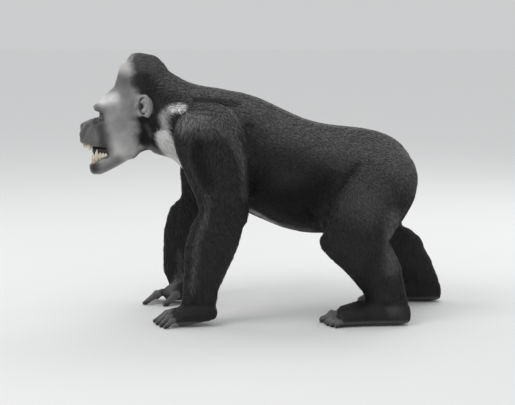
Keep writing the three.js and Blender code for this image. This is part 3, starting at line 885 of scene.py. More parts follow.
def hair_edge(z):
    """The x of the slightly wavy line where the face ends and the hair begins, for each height."""
    heights = [600, 690, 745, 765, 790, 840, 900, 982, 995, 1033, 1067, 1101, 1165]
    places = [-590, -552, -530, -536, -548, -545, -548, -534, -546, -559, -564, -568, -574]
    return np.interp(z, heights, places) + 4 * np.sin(z / 13) + 3 * np.sin(z / 5.7 + 1)


def from_ear(x, z):
    """How far a place is from the middle of the ear, seen from the side: 1 at the ear's rim."""
    return np.hypot((x + 519) / EAR_LONG, (z - 935) / EAR_HIGH)


def bare_skin(points):
    """1 on the face, ears, palms, soles and digits, and 0 under the coat."""
    x, y, z = points.T
    face = ramp(hair_edge(z) - x, -12, 14) * (z > HEAD_LOW)
    ears = (1 - ramp(from_ear(x, z), 1.05, 1.2)) * ramp(np.abs(y), 100, 106)
    hand_x, foot_x = (np.where(y < 0, place["left"][0], place["right"][0]) for place in (HANDS, FEET))
    hands = ramp(hand_x - 96 - x, 0, 22) * (z < 110) * (x < 0)  # past the knuckles
    feet = ramp(foot_x - 222 - x, 0, 20) * (z < 80) * (x > 0)  # past the ball of the foot
    digits = np.zeros(len(x))
    for path, tip in DIGITS:
        outer_half = np.array([0.35 * path[0] + 0.65 * path[1], path[1], path[2]])
        distance = distance_to_path(points, outer_half, 3 * tip)
        digits = np.maximum(digits, 1 - ramp(distance, 1.35 * tip, 1.9 * tip))
    soles = (1 - ramp(z, 20, 34)) * (z < 60)
    return np.max([face, ears, hands, feet, digits, soles], axis=0)


points = points_of(body_mesh)
print("bare skin on", round(100 * float(bare_skin(points).mean())), "% of the skin's points")

# %% The marks, with painted light and shade
COAT_BLACK, COAT_SILVER_AND_TOP_LIGHT = grey(46, 0.02), grey(100, 0.02)
FACE_GREY, MUZZLE_GREY, LOBE_GREY = grey(145, 0.012), grey(97, 0.015), grey(150, 0.02)
DIGIT_GREY, SOLE_GREY, LIP_DARK = grey(88, 0.01), grey(36, 0.0), grey(66, 0.04)

# painted highlights and painted shade of the coat, standing in for how light falls on the dark body
# a path, its radius, the grey level it is mixed with, and how much of it
COAT_PAINTED_LIGHT_AND_SHADE = [
    # a painted highlight on the cap of the shoulder
    ([(-330, 330, 888), (-225, 345, 893), (-122, 330, 893)], 80, 100, 0.9),  # cap of the shoulder
    # a painted highlight on the front of the shoulder's top
    ([(-345, 305, 900), (-310, 325, 912), (-280, 335, 912)], 66, 128, 0.75),
    # a painted rim highlight down the rear edge of the upper arm
    ([(-165, 330, 880), (-128, 330, 820), (-88, 320, 745), (-75, 310, 682), (-72, 305, 597)], 44, 92, 0.9),
    # painted shade on the front of the upper arm
    ([(-276, 345, 800), (-272, 345, 726), (-240, 345, 650)], 50, 18, 0.9),  # front of the upper arm
    # a painted highlight along the front edge of the shoulder and upper arm
    ([(-287, 340, 860), (-314, 330, 768), (-304, 330, 692), (-280, 345, 640)], 24, 58, 0.6),
    # a painted highlight along the ridge of the forearm
    ([(-238, 343, 580), (-252, 320, 480), (-286, 314, 388), (-295, 312, 293), (-312, 292, 174)], 26, 84, 0.8),
    # painted shade in the groove above the shoulder
    ([(-310, 962), (-220, 962), (-130, 950)], 20, 24, 0.8),  # groove above the shoulder
    # painted shade on the flank between arm and thigh
    ([(-40, 240, 640), (-25, 240, 560), (78, 230, 545), (180, 210, 560), (232, 200, 600)], 120, 14, 1.0),
    # painted shade low on the flank over the belly
    ([(100, 210, 480), (180, 190, 470)], 80, 16, 0.9),  # the flank over the belly
    # a painted rim highlight along the lower edge of the belly
    ([(-60, 120, 485), (-38, 118, 472), (6, 98, 442), (51, 90, 424), (110, 40, 395)], 36, 170, 1.0),  # belly
    # more of the painted highlight under the belly
    ([(72, 100, 412), (180, 100, 400)], 50, 100, 0.9),
    # a painted rim highlight down the back of the thigh and the calf
    ([(545, 270, 478), (548, 260, 380), (535, 250, 260)], 62, 94, 0.95),  # back of the thigh and the calf
    # painted shade on the front of the shin
    ([(440, 240, 290), (440, 240, 180), (430, 250, 60)], 70, 16, 1.0),  # front of the shin
    # a painted highlight on the heel
    ([(560, 270, 66), (590, 255, 45)], 50, 92, 0.8),  # heel
    # a painted highlight on the heel of the far hand
    ([(-432, 160, 60), (-415, 196, 94), (-394, 212, 122)], 42, 120, 1.0),  # heel of the hand
    # a painted highlight up the far wrist
    ([(-395, 211, 130), (-395, 211, 240)], 22, 88, 0.8),
    # painted shade on the neck behind the ear
    ([(-500, 935), (-492, 880), (-478, 850), (-500, 790)], 50, 24, 0.9),  # neck behind the ear
    # a painted highlight along the back edge of the jaw
    ([(-515, 852), (-498, 817)], 20, 92, 0.5),
]
NECK_PAINTED_HIGHLIGHTS = [  # on the neck alone
    # painted highlights on the neck, brightest in the wedge at its side
    ([(-429, 847), (-440, 890), (-420, 918)], 34, 180, 1.0),
    ([(-400, 930), (-376, 932), (-356, 929)], 29, 232, 1.3),
    ([(-504, 738), (-450, 712), (-400, 680)], 42, 140, 1.0),
    ([(-440, 806), (-434, 781), (-416, 745), (-388, 700)], 48, 250, 2.2),
]
# the face's own tones, with painted highlights and painted shade among them
FACE_TONES_AND_PAINTED_LIGHT = [
    # a painted highlight on the bald front of the crest
    ([(-612, 1130), (-590, 1110), (-575, 1125)], 70, 176, 1.1),  # bald front of the crest
    ([(-600, 985), (-585, 960), (-580, 920)], 62, 104, 0.8),  # temple
    # a painted highlight on the brow
    ([(-724, 0, 955), (-702, 60, 962), (-660, 84, 972)], 48, 205, 1.1),  # brow
    # the lower edge of the painted brow highlight, kept dimmer
    ([(-742, 0, 940), (-736, 60, 936)], 26, 140, 0.5),
    ([(-600, 850), (-620, 880)], 80, 122, 0.5),  # cheekbone
    ([(-640, 745), (-600, 735), (-560, 742)], 50, 180, 0.9),  # jaw
    # painted shade under the jaw
    ([(-740, 670), (-700, 660), (-640, 690)], 44, 108, 0.9),
    ([(-768, 705), (-762, 680), (-745, 655)], 42, 46, 1.1),  # chin
    # a painted highlight on the wing of the nose
    ([(-806, 40, 806), (-798, 48, 820), (-786, 50, 838)], 12, 150, 0.8),  # wing of the nose
    # painted shade inside the nostril
    ([(-812, 20, 812), (-806, 30, 826)], 13, 18, 1.0),  # nostril
]
LIPS = [(-800, 0, 760), (-795, 30, 757), (-768, 50, 757), (-735, 64, 755), (-690, 80, 722)]
FOLD_SHADE = [(-748, 908), (-722, 894), (-720, 862), (-712, 835), (-702, 800), (-706, 765), (-694, 740)]
print(len(COAT_PAINTED_LIGHT_AND_SHADE) + len(NECK_PAINTED_HIGHLIGHTS), "marks of the coat and", len(FACE_TONES_AND_PAINTED_LIGHT), "of the face")


# %% One colour for each place
def marked(colour, points, marks):
    """The colours after each mark in turn has been mixed in where it lies."""
    for path, radius, level, share in marks:
        colour = mixed(colour, grey(level, 0.015), share * near(points, path, radius))
    return colour


def coat_colour(points):
    """Black, silvery on the back and the thigh, with a painted highlight along the top, then the coat's
    painted highlights and shade, and the painted highlight of the neck's wedge.
    """
    x, y, z = points.T
    top = np.interp(x, [-500, -280, 0, 300, 450, 650], [1150, 1022, 960, 850, 830, 730])
    # the silvery saddle of the back
    saddle_and_top_light = ramp(z - top, -215, -60) * ramp(x, -120, 60) * 0.9
    saddle_and_top_light = np.maximum(saddle_and_top_light, 0.62 * near(points, [(520, 150, 720), (470, 200, 620), (430, 240, 540)], 150))
    # a painted highlight along the top of the neck, crest and shoulders, where light falls from above
    saddle_and_top_light = np.maximum(saddle_and_top_light, 0.8 * ramp(z - top, -150 + 60 * ramp(-x, 460, 520), -40) * (x < 60))
    colour = marked(mixed(np.tile(COAT_BLACK, (len(points), 1)), COAT_SILVER_AND_TOP_LIGHT, saddle_and_top_light), points, COAT_PAINTED_LIGHT_AND_SHADE)
    neck = 1 - ramp(np.abs(y), 150, 205)
    return mixed(colour, marked(colour, points, NECK_PAINTED_HIGHLIGHTS), neck)


def face_colour(points):
    """Grey with a dark forehead, then the marks with their painted highlights and shade, a darker muzzle and
    lips, and painted shade in the folds, eye sockets and mouth.
    """
    x, y, z = points.T
    face = np.tile(FACE_GREY, (len(points), 1))
    face = mixed(face, grey(66, 0.03), 0.9 * ramp(z, 975, 1025) * (1 - 0.8 * ramp(z, 1055, 1100)))
    face = marked(face, points, FACE_TONES_AND_PAINTED_LIGHT)
    face = mixed(face, MUZZLE_GREY, ramp(-x, 722, 752) * (1 - ramp(z, 880, 915)) * ramp(z, 700, 720))
    # painted shade under the brow and down the fold between muzzle and cheek
    face = mixed(face, grey(44, 0.02), 0.95 * near(points, FOLD_SHADE, 54) * (1 - ramp(-x, 735, 785)))
    # painted shade in the socket round the eye
    face = mixed(face, grey(48, 0.03), 0.9 * near(points, [(-718, 20, 893), (-716, 56, 893)], 34))
    lips = near(points, LIPS, 14)
    face = mixed(face, LIP_DARK, 0.8 * lips)
    # painted shade inside the mouth
    inside = ramp(40 - np.abs(y) + 0.35 * (x + 740), 0, 12) * (z < 752) * (x < -640)
    inside = inside * (z > 676 + 0.9 * np.maximum(x + 690, 0))
    return mixed(face, grey(44, 0.12), inside)


def markings_and_painted_light(points):
    """The colour of coat and skin for each place, with light and shade painted into it."""
    x, y, z = points.T
    hands_and_feet = mixed(np.tile(DIGIT_GREY, (len(points), 1)), SOLE_GREY, 1 - ramp(z, 10, 24))
    lobes = ramp(np.abs(y), 100, 105) * ramp(x, -566, -540)
    face_and_ears = mixed(face_colour(points), LOBE_GREY, lobes)
    bare = np.where((z > HEAD_LOW)[:, None], face_and_ears, hands_and_feet)
    return mixed(coat_colour(points), bare, bare_skin(points))


print("coat from grey level 46 to 100, face", FACE_GREY.round(3), "as linear colour")

# %% [markdown]
# ## Going in by the coat's depth
# The solids reach to the tips of the coat. The skin therefore goes in under it: about 7 mm where the hair is,
# and not at all where the animal is bare. A Displace modifier could do it with one depth for all. An array of
# depths also spares the rear corner of the crest, which is too sharp to go in without folding over.


# %% The skin under the coat
COAT_DEPTH = 7.0
CREST_CORNER = (-471, 0, 1133)
behind = ramp(points[:, 0] - hair_edge(points[:, 2]), 0, 70)
deep = np.where(points[:, 2] > HEAD_LOW, behind, ramp(points[:, 2], 30, 180))
deep = deep * (1 - near(points, [CREST_CORNER], 34))
points = points - (COAT_DEPTH * deep * (1 - bare_skin(points)))[:, None] * normals_of(body_mesh)
points = above_floor(points)
move_points(body_mesh, points)


def set_colours(mesh, name, colours):
    """One linear colour for each point, kept as an attribute that a material can read."""
    layer = mesh.color_attributes.new(name, "FLOAT_COLOR", "POINT")
    write(layer.data, "color", np.column_stack([colours, np.ones(len(colours))]))


set_colours(body_mesh, "tint", markings_and_painted_light(points))
write(body_mesh.attributes.new("bare", "FLOAT", "POINT").data, "value", bare_skin(points))
print("mean depth of the coat", round(float((COAT_DEPTH * deep * (1 - bare_skin(points))).mean()), 1), "mm")

# %% [markdown]
# ## The skin's finish
# Bare gorilla skin is a fine leather: pores, crossing creases and a soft shine. Under the coat it is covered
# by short hair, which is drawn as a bump in streaks. Two materials would meet in a hard line, so both
# finishes are one material, and the attribute "bare" chooses between them point by point.


# %% Skin material
BLOTCHES = {"scale": 28.0, "detail": 6.0, "spread": 0.2, "least": 0.88, "most": 1.12}  # skin and coat alike
hide = Finish("hide")
hide.mottle(**BLOTCHES)
place = hide.place()
bare = hide.carried("bare", "Fac")
rough = hide.node("MapRange", {"Value": bare, "To Min": 0.85, "To Max": 0.52})
hide.link(rough.outputs[0], "Roughness")
pores = hide.node("TexVoronoi", {"Vector": place, "Scale": 420.0}, feature="DISTANCE_TO_EDGE")
creases = hide.noise(place, 90.0, 8.0, Roughness=0.7)
leather = hide.node("Math", {0: pores.outputs[0], 1: creases}, operation="ADD")
lie_turn = (0, math.radians(40), 0)  # streaks run back and down, as the hair does
turned = hide.node("Mapping", {"Vector": place, "Rotation": lie_turn, "Scale": (60, 500, 500)})
streaks = hide.noise(turned.outputs[0], 1.0, 3.0)
grain = hide.node("Mix", {0: bare, 2: streaks, 3: leather.outputs[0]})
hide.bump(grain.outputs[0], 0.35, 0.002)
hide.set(Sheen_Weight=0.25, Sheen_Roughness=0.45, Specular_IOR_Level=0.35)

skin = shown("skin", body_mesh)
body_mesh.shade_smooth()
body_mesh.materials.clear()
body_mesh.materials.append(hide.owner)
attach(skin, "root")
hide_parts(*flesh)
print("skin piece:", sum(len(f.vertices) - 2 for f in body_mesh.polygons), "triangles")

# %% [markdown]
# ## Eyes
# A gorilla's eye is dark: a brown iris round a black pupil, and a brownish white that hardly shows. The ball
# is a sphere with the clear dome of the cornea on its front. It could be two meshes, glass over a painted
# disc, but at this size one glossy ball that is painted by the angle from its gaze looks the same.


# %% Grids and tubes
def full_turn(count):
    """Angles evenly round a circle, without the first one again at its end."""
    return np.linspace(0, 2 * np.pi, count, endpoint=False)


def grid_faces(rows, columns, closed=True):
    """The quads of a grid of points, row by row. A closed grid joins its last column to its first."""
    index = np.arange(rows * columns).reshape(rows, columns)
    index = np.column_stack([index, index[:, 0]]) if closed else index
    return np.stack([index[:-1, :-1], index[:-1, 1:], index[1:, 1:], index[1:, :-1]], -1).reshape(-1, 4)


def capped(points, rows, columns):
    """A tube of rows, closed by a face at each end. Its rows run anticlockwise as seen from the last one."""
    first = list(range(columns))
    last = [corner + (rows - 1) * columns for corner in first]
    return points.reshape(-1, 3), grid_faces(rows, columns).tolist() + [first[::-1], last]


def joined(pieces):
    """Several (points, faces, colours) as one, the faces' numbers moved on by the points before them."""
    points, faces, colours = zip(*pieces)
    lengths = [len(own) for own in points]
    starts = (np.cumsum(lengths) - lengths).tolist()
    moved = [[corner + start for corner in face] for own, start in zip(faces, starts) for face in own]
    return np.concatenate(points), moved, np.concatenate(colours)


def finished(name, pieces, finish, slot, *replaced):
    """One object of joined pieces, with colours and finish, riding on the body, and what it replaces."""
    points, faces, colours = joined(pieces)
    made = shown(name, new_mesh(name, points, faces))
    set_colours(made.data, "tint", colours)
    made.data.materials.append(finish.owner)
    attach(made, "root")
    if replaced:
        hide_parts(*replaced)
    print(name, len(points), "points")
    return made


print("a grid of 3 rows and 4 columns has", len(grid_faces(3, 4)), "quads when closed")


# %% Eyeballs
IRIS_BROWN, IRIS_RIM = np.array([0.075, 0.036, 0.016]), np.array([0.012, 0.006, 0.004])
WHITE, WHITE_FAR = np.array([0.065, 0.040, 0.028]), np.array([0.035, 0.018, 0.014])


def frame_about(direction):
    """Three unit vectors: across, up and along the direction."""
    along = unit(np.array(direction, float))
    across = unit(np.cross(along, UP))
    return across, np.cross(across, along), along


def eyeball(side):
    """
    Rings about the gaze at angles t from 2 to 176 degrees, of radius R (1 + 0.05 bell(t, 34)): the dome of
    the cornea. Pupil to 13 degrees, iris to 31, with a darker rim, then the brown white of the eye.
    """
    t = np.radians(np.concatenate([np.linspace(2, 40, 14), np.linspace(45, 176, 20)]))
    turn = full_turn(32)
    across, up, along = frame_about(GAZE * (1, side, 1))
    radius = EYE_RADIUS * (1 + 0.05 * bell(np.degrees(t), 34))
    ring = np.cos(turn)[None, :, None] * across + np.sin(turn)[None, :, None] * up
    out = np.sin(t)[:, None, None] * ring + np.cos(t)[:, None, None] * along
    points = EYE * (1, side, 1) + radius[:, None, None] * out
    angle = np.repeat(np.degrees(t), len(turn))
    rays = 0.8 + 0.4 * np.tile(np.sin(turn * 11) ** 2, len(t))
    iris = IRIS_BROWN * rays[:, None] * ramp(angle, 12, 14)[:, None]
    colour = mixed(iris, IRIS_RIM, bell(angle - 31, 5))
    colour = mixed(colour, WHITE, ramp(angle, 30, 36))
    colour = mixed(colour, WHITE_FAR, ramp(angle, 50, 70))
    return *capped(points, len(t), len(turn)), colour


eye_finish = Finish("eye_gloss")
eye_finish.link(eye_finish.carried("tint", "Color"), "Base Color")
eye_finish.set(Roughness=0.08, Coat_Weight=0.3, Coat_Roughness=0.03, IOR=1.38)
for name, side in SIDES.items():
    finished("eyeball_" + name, [eyeball(side)], eye_finish, "eye", "eye_" + name)

# %% [markdown]
# ## Mouth
# The jaws are open in a call, so teeth, gums and tongue show. Each tooth is a crown of its own: a column
# whose section is flattened towards the cutting edge, or drawn out to a point in the long canines. They stand
# along an arch, half an oval, on a rounded gum. Behind them a lining closes the mouth, so that no light
# comes in from the far side, and its near-black colour is painted shade. Teeth could be copies of one cube
# with a subdivision, but then all would have the same worn edge.


# %% One crown
TOOTH_ROOT, TOOTH_TIP = np.array([0.50, 0.42, 0.28]), np.array([0.74, 0.68, 0.54])


def crown(place, outward, width, depth, height, drop, blunt):
    """
    Rings of 10 points from the root up: half widths shrink as 1 - s^blunt, s from 0 to 1 along the crown, and
    the tooth leans outwards and curves back by a share of s squared. Drop is -1 for upper teeth, which grow
    downwards.
    """
    s = np.array([-0.25, 0.0, 0.25, 0.5, 0.72, 0.88, 0.97, 1.0])
    turn = full_turn(10)
    along = np.cross(outward, UP)
    size = np.maximum(1 - np.clip(s, 0, 1) ** blunt, 0.12) * (1 - 0.1 * (s < 0))
    belly = 1 + 0.12 * np.sin(np.clip(s, 0, 1) * np.pi)
    across = along * (np.cos(turn) * (width * size * belly)[:, None])[:, :, None]
    deep = outward * (np.sin(turn) * (depth * size * belly)[:, None])[:, :, None]
    lean = outward * (0.16 * height * (s - 0.9 * s * s))[:, None, None]
    points = place + across + deep + lean + np.array([0, 0, drop]) * (height * s)[:, None, None]
    points, faces = capped(points, len(s), len(turn))
    if drop < 0:
        faces = [face[::-1] for face in faces]
    worn = np.repeat(ramp(s, 0.1, 0.5), len(turn))
    return points, faces, mixed(np.tile(TOOTH_ROOT, (len(points), 1)), TOOTH_TIP, worn)


# %% Rows of teeth
# half width, half depth, height and bluntness of each tooth, from the middle of the row to its end
UPPER_CROWNS = [(7.4, 4.6, 20, 5.0), (6.8, 4.4, 19, 4.0), (9.6, 8.6, 33, 2.2), (6.6, 4.4, 13, 3.4),
                (6.6, 4.2, 11, 3.4), (8.4, 6.0, 11, 5.0), (8.4, 6.0, 10, 5.0)]
LOWER_CROWNS = [(6.4, 4.6, 27, 5.0), (7.0, 5.0, 28, 4.0), (10.4, 9.4, 48, 2.6), (8.6, 8.0, 32, 3.4),
                (8.4, 8.0, 26, 4.0), (9.0, 8.4, 21, 5.0), (8.6, 8.4, 17, 5.0)]
SPACES = np.array([7, 21, 38, 54, 67, 82, 97])
UPPER = {"front": -794, "back": -706, "half": 35, "front_z": 760, "back_z": 772, "drop": -1}
LOWER = {"front": -758, "back": -694, "half": 34, "front_z": 683, "back_z": 702, "drop": 1}


def arch(row, spots):
    """Places along half an oval at distances from its middle, and the level outward direction at each."""
    angle = np.linspace(0, np.pi / 2, 60)
    depth = row["front"] - row["back"]
    x = row["back"] + depth * np.cos(angle)
    y = row["half"] * np.sin(angle)
    length = np.concatenate([[0], np.cumsum(np.hypot(np.diff(x), np.diff(y)))])
    x, y = np.interp(spots, length, x), np.interp(spots, length, y)
    share = (x - row["front"]) / (row["back"] - row["front"])
    z = row["front_z"] + (row["back_z"] - row["front_z"]) * share
    out = np.column_stack([(x - row["back"]) / depth ** 2, y / row["half"] ** 2, 0 * y])
    return np.column_stack([x, y, z]), unit(out)


def tooth_row(row, crowns):
    """The crowns of one jaw, each side from the middle to the end."""
    pieces = []
    places, outwards = arch(row, SPACES)
    for side in SIDES.values():
        mirror = (1, side, 1)
        for place, outward, (width, depth, height, blunt) in zip(places, outwards, crowns):
            place, outward = place * mirror, outward * mirror
            pieces.append(crown(place, outward, width, depth, height, row["drop"], blunt))
    return pieces


enamel = Finish("tooth_enamel")
enamel.mottle(160.0, 4.0, spread=0.15, least=0.82, most=1.08)
enamel.set(Roughness=0.25, Coat_Weight=0.5, Coat_Roughness=0.1)
finished("teeth_upper", tooth_row(UPPER, UPPER_CROWNS), enamel, "tooth", "upper_teeth")
finished("teeth_lower", tooth_row(LOWER, LOWER_CROWNS), enamel, "tooth", "lower_teeth")

# %% [markdown]
# ## Gums, tongue and lining
# Wet flesh is smooth and round, so each of these is a tube whose rings change in size: a cord along the arch
# for a gum, and flattened rings along x for the tongue and for the lining of the throat, which is painted
# near black as shade. A metaball could give the same roundness, but not a size that is known beforehand, and
# the teeth leave little room.


# %% Wet flesh
# the throat's near-black colour is painted shade at the back of the mouth
GUM_FLESH, TONGUE_FLESH, THROAT_PAINTED_SHADE = (0.42, 0.32, 0.27), (0.17, 0.075, 0.075), (0.020, 0.011, 0.012)


def gum(row, thick):
    """A round cord along the arch, thicker between the roots, closed at both ends. It sits behind the lip."""
    spots = np.linspace(-100, 100, 61)
    places, outwards = arch(row, np.abs(spots))
    places[:, 1] *= np.sign(spots)
    outwards[:, 1] *= np.sign(spots)
    turn = full_turn(12)
    size = thick * (1 + 0.06 * np.cos(spots * 0.45)) * (1 - 0.6 * ramp(np.abs(spots), 84, 100))
    ring = 0.6 * np.cos(turn)[None, :, None] * outwards[:, None] + 1.25 * np.sin(turn)[None, :, None] * UP
    points = places[:, None] - row["drop"] * thick * UP + size[:, None, None] * ring
    points, faces = capped(points, len(spots), len(turn))
    return points, [face[::-1] for face in faces], np.tile(GUM_FLESH, (len(points), 1))


def pad(stations, colour):
    """A closed rounded mass of oval rings. A station is x, middle z, half width and half height."""
    x, z, wide, high = np.array(stations, float).T[:, :, None]
    turn = full_turn(20)
    points = np.stack([x + 0 * turn, wide * np.cos(turn), z + high * np.sin(turn)], -1)
    points, faces = capped(points, len(x), len(turn))
    return points, faces, np.tile(colour, (len(points), 1))


wet_flesh = Finish("wet_flesh")
wet_flesh.link(wet_flesh.carried("tint", "Color"), "Base Color")
buds = wet_flesh.node("TexVoronoi", {"Vector": wet_flesh.place(), "Scale": 300.0})
wet_flesh.bump(buds.outputs["Distance"], 0.4, 0.001)
wet_flesh.set(Roughness=0.35, Coat_Weight=0.3, Coat_Roughness=0.15)

finished("gums", [gum(UPPER, 7.5), gum(LOWER, 10)], wet_flesh, "tongue")
TONGUE = [(-757, 697, 5, 3), (-754, 698, 14, 7), (-745, 700, 20, 11), (-730, 704, 23, 14),
          (-705, 708, 23, 17), (-680, 712, 21, 18), (-664, 714, 10, 10)]
LINING = [(-758, 735, 6, 12), (-752, 732, 14, 20), (-738, 728, 20, 26), (-715, 724, 24, 29),
          (-684, 724, 27, 31), (-662, 724, 24, 28), (-650, 724, 10, 12)]
finished("tongue_flesh", [pad(TONGUE, TONGUE_FLESH)], wet_flesh, "tongue", "tongue")
finished("mouth_lining", [pad(LINING, THROAT_PAINTED_SHADE)], wet_flesh, "tongue")

# %% [markdown]
# ## Nails
# Fingers and toes end in flat dark nails like our own. A nail is a thin plate, bent round the digit, with a
# free edge in front. It could be a cube with a bend, placed by eye twenty times. Here its grid of places is
# laid on the skin by rays that are sent from outside towards the tip of the digit, and a second sheet below
# closes it.


# %% Nails
NAIL_ROWS, NAIL_STEPS = 7, 6  # places across the digit and along it
NAIL_HALF, NAIL_BEND = 50, 64  # degrees to each side, and from straight up towards the front
NAIL_RISE = 1.5  # how far its two sheets lie over and under the skin
START = 1.7  # the rays start this many tips away from the middle of the tip
skin_tree = BVHTree.FromPolygons([Vector(p) for p in points_of(body_mesh)],
                                 [tuple(f.vertices) for f in body_mesh.polygons])


def nail_sheet(a, b, path, tip):
    """
    Where the directions a across the digit and b forwards from straight up meet the skin, and the directions.
    A ray that misses, or meets skin that looks away, ends at the usual distance for its direction instead.
    """
    along = unit((path[2] - path[1]) * (1, 1, 0))
    across = np.array([-along[1], along[0], 0])
    centre = path[2] * (1, 1, 0) + (0, 0, 0.3 * tip) - along * 0.5 * tip
    ways = (np.cos(a)[..., None] * (np.cos(b)[..., None] * UP + np.sin(b)[..., None] * along)
            + np.sin(a)[..., None] * across).reshape(-1, 3)
    starts = centre + ways * START * tip
    hits = [skin_tree.ray_cast(Vector(start), Vector(-way)) for start, way in zip(starts, ways)]
    good = [hit[0] is not None and hit[1].dot(Vector(way)) > 0.1 for hit, way in zip(hits, ways)]
    usual = (1.25 - 0.5 * np.degrees(b) / NAIL_BEND) * (1 - 0.3 * np.abs(np.degrees(a)) / NAIL_HALF) * tip
    reach = [START * tip - hit[3] if well else other for hit, well, other in zip(hits, good, usual.ravel())]
    return centre + ways * np.clip(reach, 0.45 * tip, 1.5 * tip)[:, None], ways


def nail(path, tip):
    """
    A plate between two sheets 1.5 mm over and under the skin. Its upper sheet bulges along the middle line,
    rises towards the free edge by its place squared, and dips where it grows out of the skin.
    """
    a, b = np.meshgrid(np.radians(np.linspace(-NAIL_HALF, NAIL_HALF, NAIL_ROWS)),
                       np.radians(np.linspace(0, NAIL_BEND, NAIL_STEPS)), indexing="ij")
    sheet, ways = nail_sheet(a, b, path, tip)
    edge = np.repeat(np.abs(np.linspace(-1, 1, NAIL_ROWS)) ** 3, NAIL_STEPS)
    front = np.tile(np.linspace(0, 1, NAIL_STEPS), NAIL_ROWS)
    top = sheet + ways * (NAIL_RISE - 1.3 * edge + 0.8 * front ** 2 - 1.2 * (front == 0))[:, None]
    bottom = sheet - ways * NAIL_RISE
    points = above_floor(np.concatenate([top, bottom]), 0.5)
    count = NAIL_ROWS * NAIL_STEPS
    upper = grid_faces(NAIL_ROWS, NAIL_STEPS, closed=False)
    steps, rows = np.arange(NAIL_STEPS - 1), np.arange(NAIL_ROWS - 1)
    border = np.concatenate([steps, rows * NAIL_STEPS + NAIL_STEPS - 1,
                             count - 1 - steps, (NAIL_ROWS - 1 - rows) * NAIL_STEPS])
    after = np.roll(border, -1)
    rim = np.stack([border, after, after + count, border + count], 1)
    faces = upper[:, ::-1].tolist() + (upper + count).tolist() + rim.tolist()
    colour = mixed(np.tile(grey(66, 0.05), (2 * count, 1)), grey(120, 0.06), np.tile(front, 2) ** 3)
    return points, faces, colour


horn = Finish("nail_horn")
horn.link(horn.carried("tint", "Color"), "Base Color")
horn.bump(horn.noise(horn.place(), 500.0, 2.0), 0.2, 0.0005)
horn.set(Roughness=0.35, Coat_Weight=0.2)
nails = finished("nails", [nail(*digit) for digit in DIGITS], horn, "bare_skin")
turned_out = bmesh.new()
turned_out.from_mesh(nails.data)
bmesh.ops.recalc_face_normals(turned_out, faces=turned_out.faces)
turned_out.to_mesh(nails.data)
turned_out.free()

# %% [markdown]
# ## Coat
# Hair is built as tufts: thin solid blades, thick at the root, that lie along the body and end in a point.
# Particle hair or curves would be simpler, but neither survives an export. Each tuft has seven points: three
# round its root, three round its middle and the tip. Their roots are strewn over the skin by chance, closer
# where the tufts are smaller. The lie of the coat is a field of directions, one for each point of the skin.


# %% The lie of the coat
def along_skin(ways, normals):
    """Directions without their part along the normals, at length 1."""
    return unit(ways - dot(ways, normals) * normals)


def lie_of(points, normals):
    """Back and down on head and trunk, down the limbs, forwards on hands and feet; along the skin."""
    x, y, z = points.T
    side = np.sign(y)
    top = np.clip(normals[:, 2], 0, 1)
    under = np.clip(-normals[:, 2], 0, 1)
    lie = np.stack([0.72 + 0.3 * top, side * (0.35 * top - 0.25 * under), -0.72 + 0.5 * top + 0.5 * under], 1)
    arm = ramp(np.abs(y), 170, 215) * (1 - ramp(x, -70, 0)) * (1 - ramp(z, 880, 960))
    arm = np.maximum(arm, (1 - ramp(z, 440, 520)) * (x < 20))
    leg = ramp(x, 180, 300) * (1 - ramp(z, 560, 720)) * ramp(np.abs(y), 40, 120)
    layers = [  # how much of each direction, one after the other
        (ramp(-x, 380, 480) * ramp(z, 760, 860), (0.85, 0, -0.5 + 0.3 * top)),  # head and neck
        (ramp(-x, 590, 640) * ramp(z, 1000, 1060), (0.5, side * 0.5, 0.3)),  # forehead
        (arm, (0.22, 0, -1.0)),
        (arm * (1 - ramp(z, 420, 560)), (0.5, 0, -0.86)),  # forearm
        (leg, (0.42, 0, -0.9)),
        (1 - ramp(z, 70, 130), (-1.0, 0, -0.2)),  # hands and feet
    ]
    for share, direction in layers:
        lie = blend(lie, np.stack([0 * x + part for part in direction], 1), share[:, None])
    return along_skin(lie, normals)


points, normals, web = points_of(body_mesh), normals_of(body_mesh), web_of(body_mesh)
lie = relaxed(lie_of(points, normals), web, np.ones(len(points)), 12)
lie = along_skin(lie, normals)
print("the coat lies along", lie.mean(0).round(2), "on the whole")


# %% Length and width of the tufts
def tuft_length(points):
    """Long on arms and behind the forearm, shorter on the head, shortest at the face, hands and feet."""
    x, y, z = points.T
    length = 27 + 7 * ramp(np.abs(y), 170, 230) * (x < 50)
    length = blend(length, 21, ramp(-x, 380, 470) * (z > LIMB_TOP))
    length = blend(length, 9, (1 - ramp(x - hair_edge(z), -5, 45)) * (z > HEAD_LOW))
    length = blend(length, 11, near(points, [(-518, 100, 935)], 90))  # about the ear
    fringe = near(points, [(-90, 255, 420), (-105, 250, 350), (-150, 248, 220), (-190, 250, 130)], 40)
    length = length + 14 * fringe * (x < 0)
    return length * (0.32 + 0.68 * ramp(z, 50, 180))


def tuft_width(length):
    """Long tufts are wider, by a straight line."""
    return 1.3 + 0.115 * length


print("a tuft of 27 mm is", round(tuft_width(27), 1), "mm wide")

# %% [markdown]
# ### Where the tufts grow
# Points could be strewn by Geometry Nodes, but the same points are a few lines of numpy. Every triangle of
# the skin gets a chance that grows with its area and shrinks with the size of its tufts, so that they overlap
# alike everywhere. The triangles' chances are added up in a row, and a random number picks a place in that
# row.


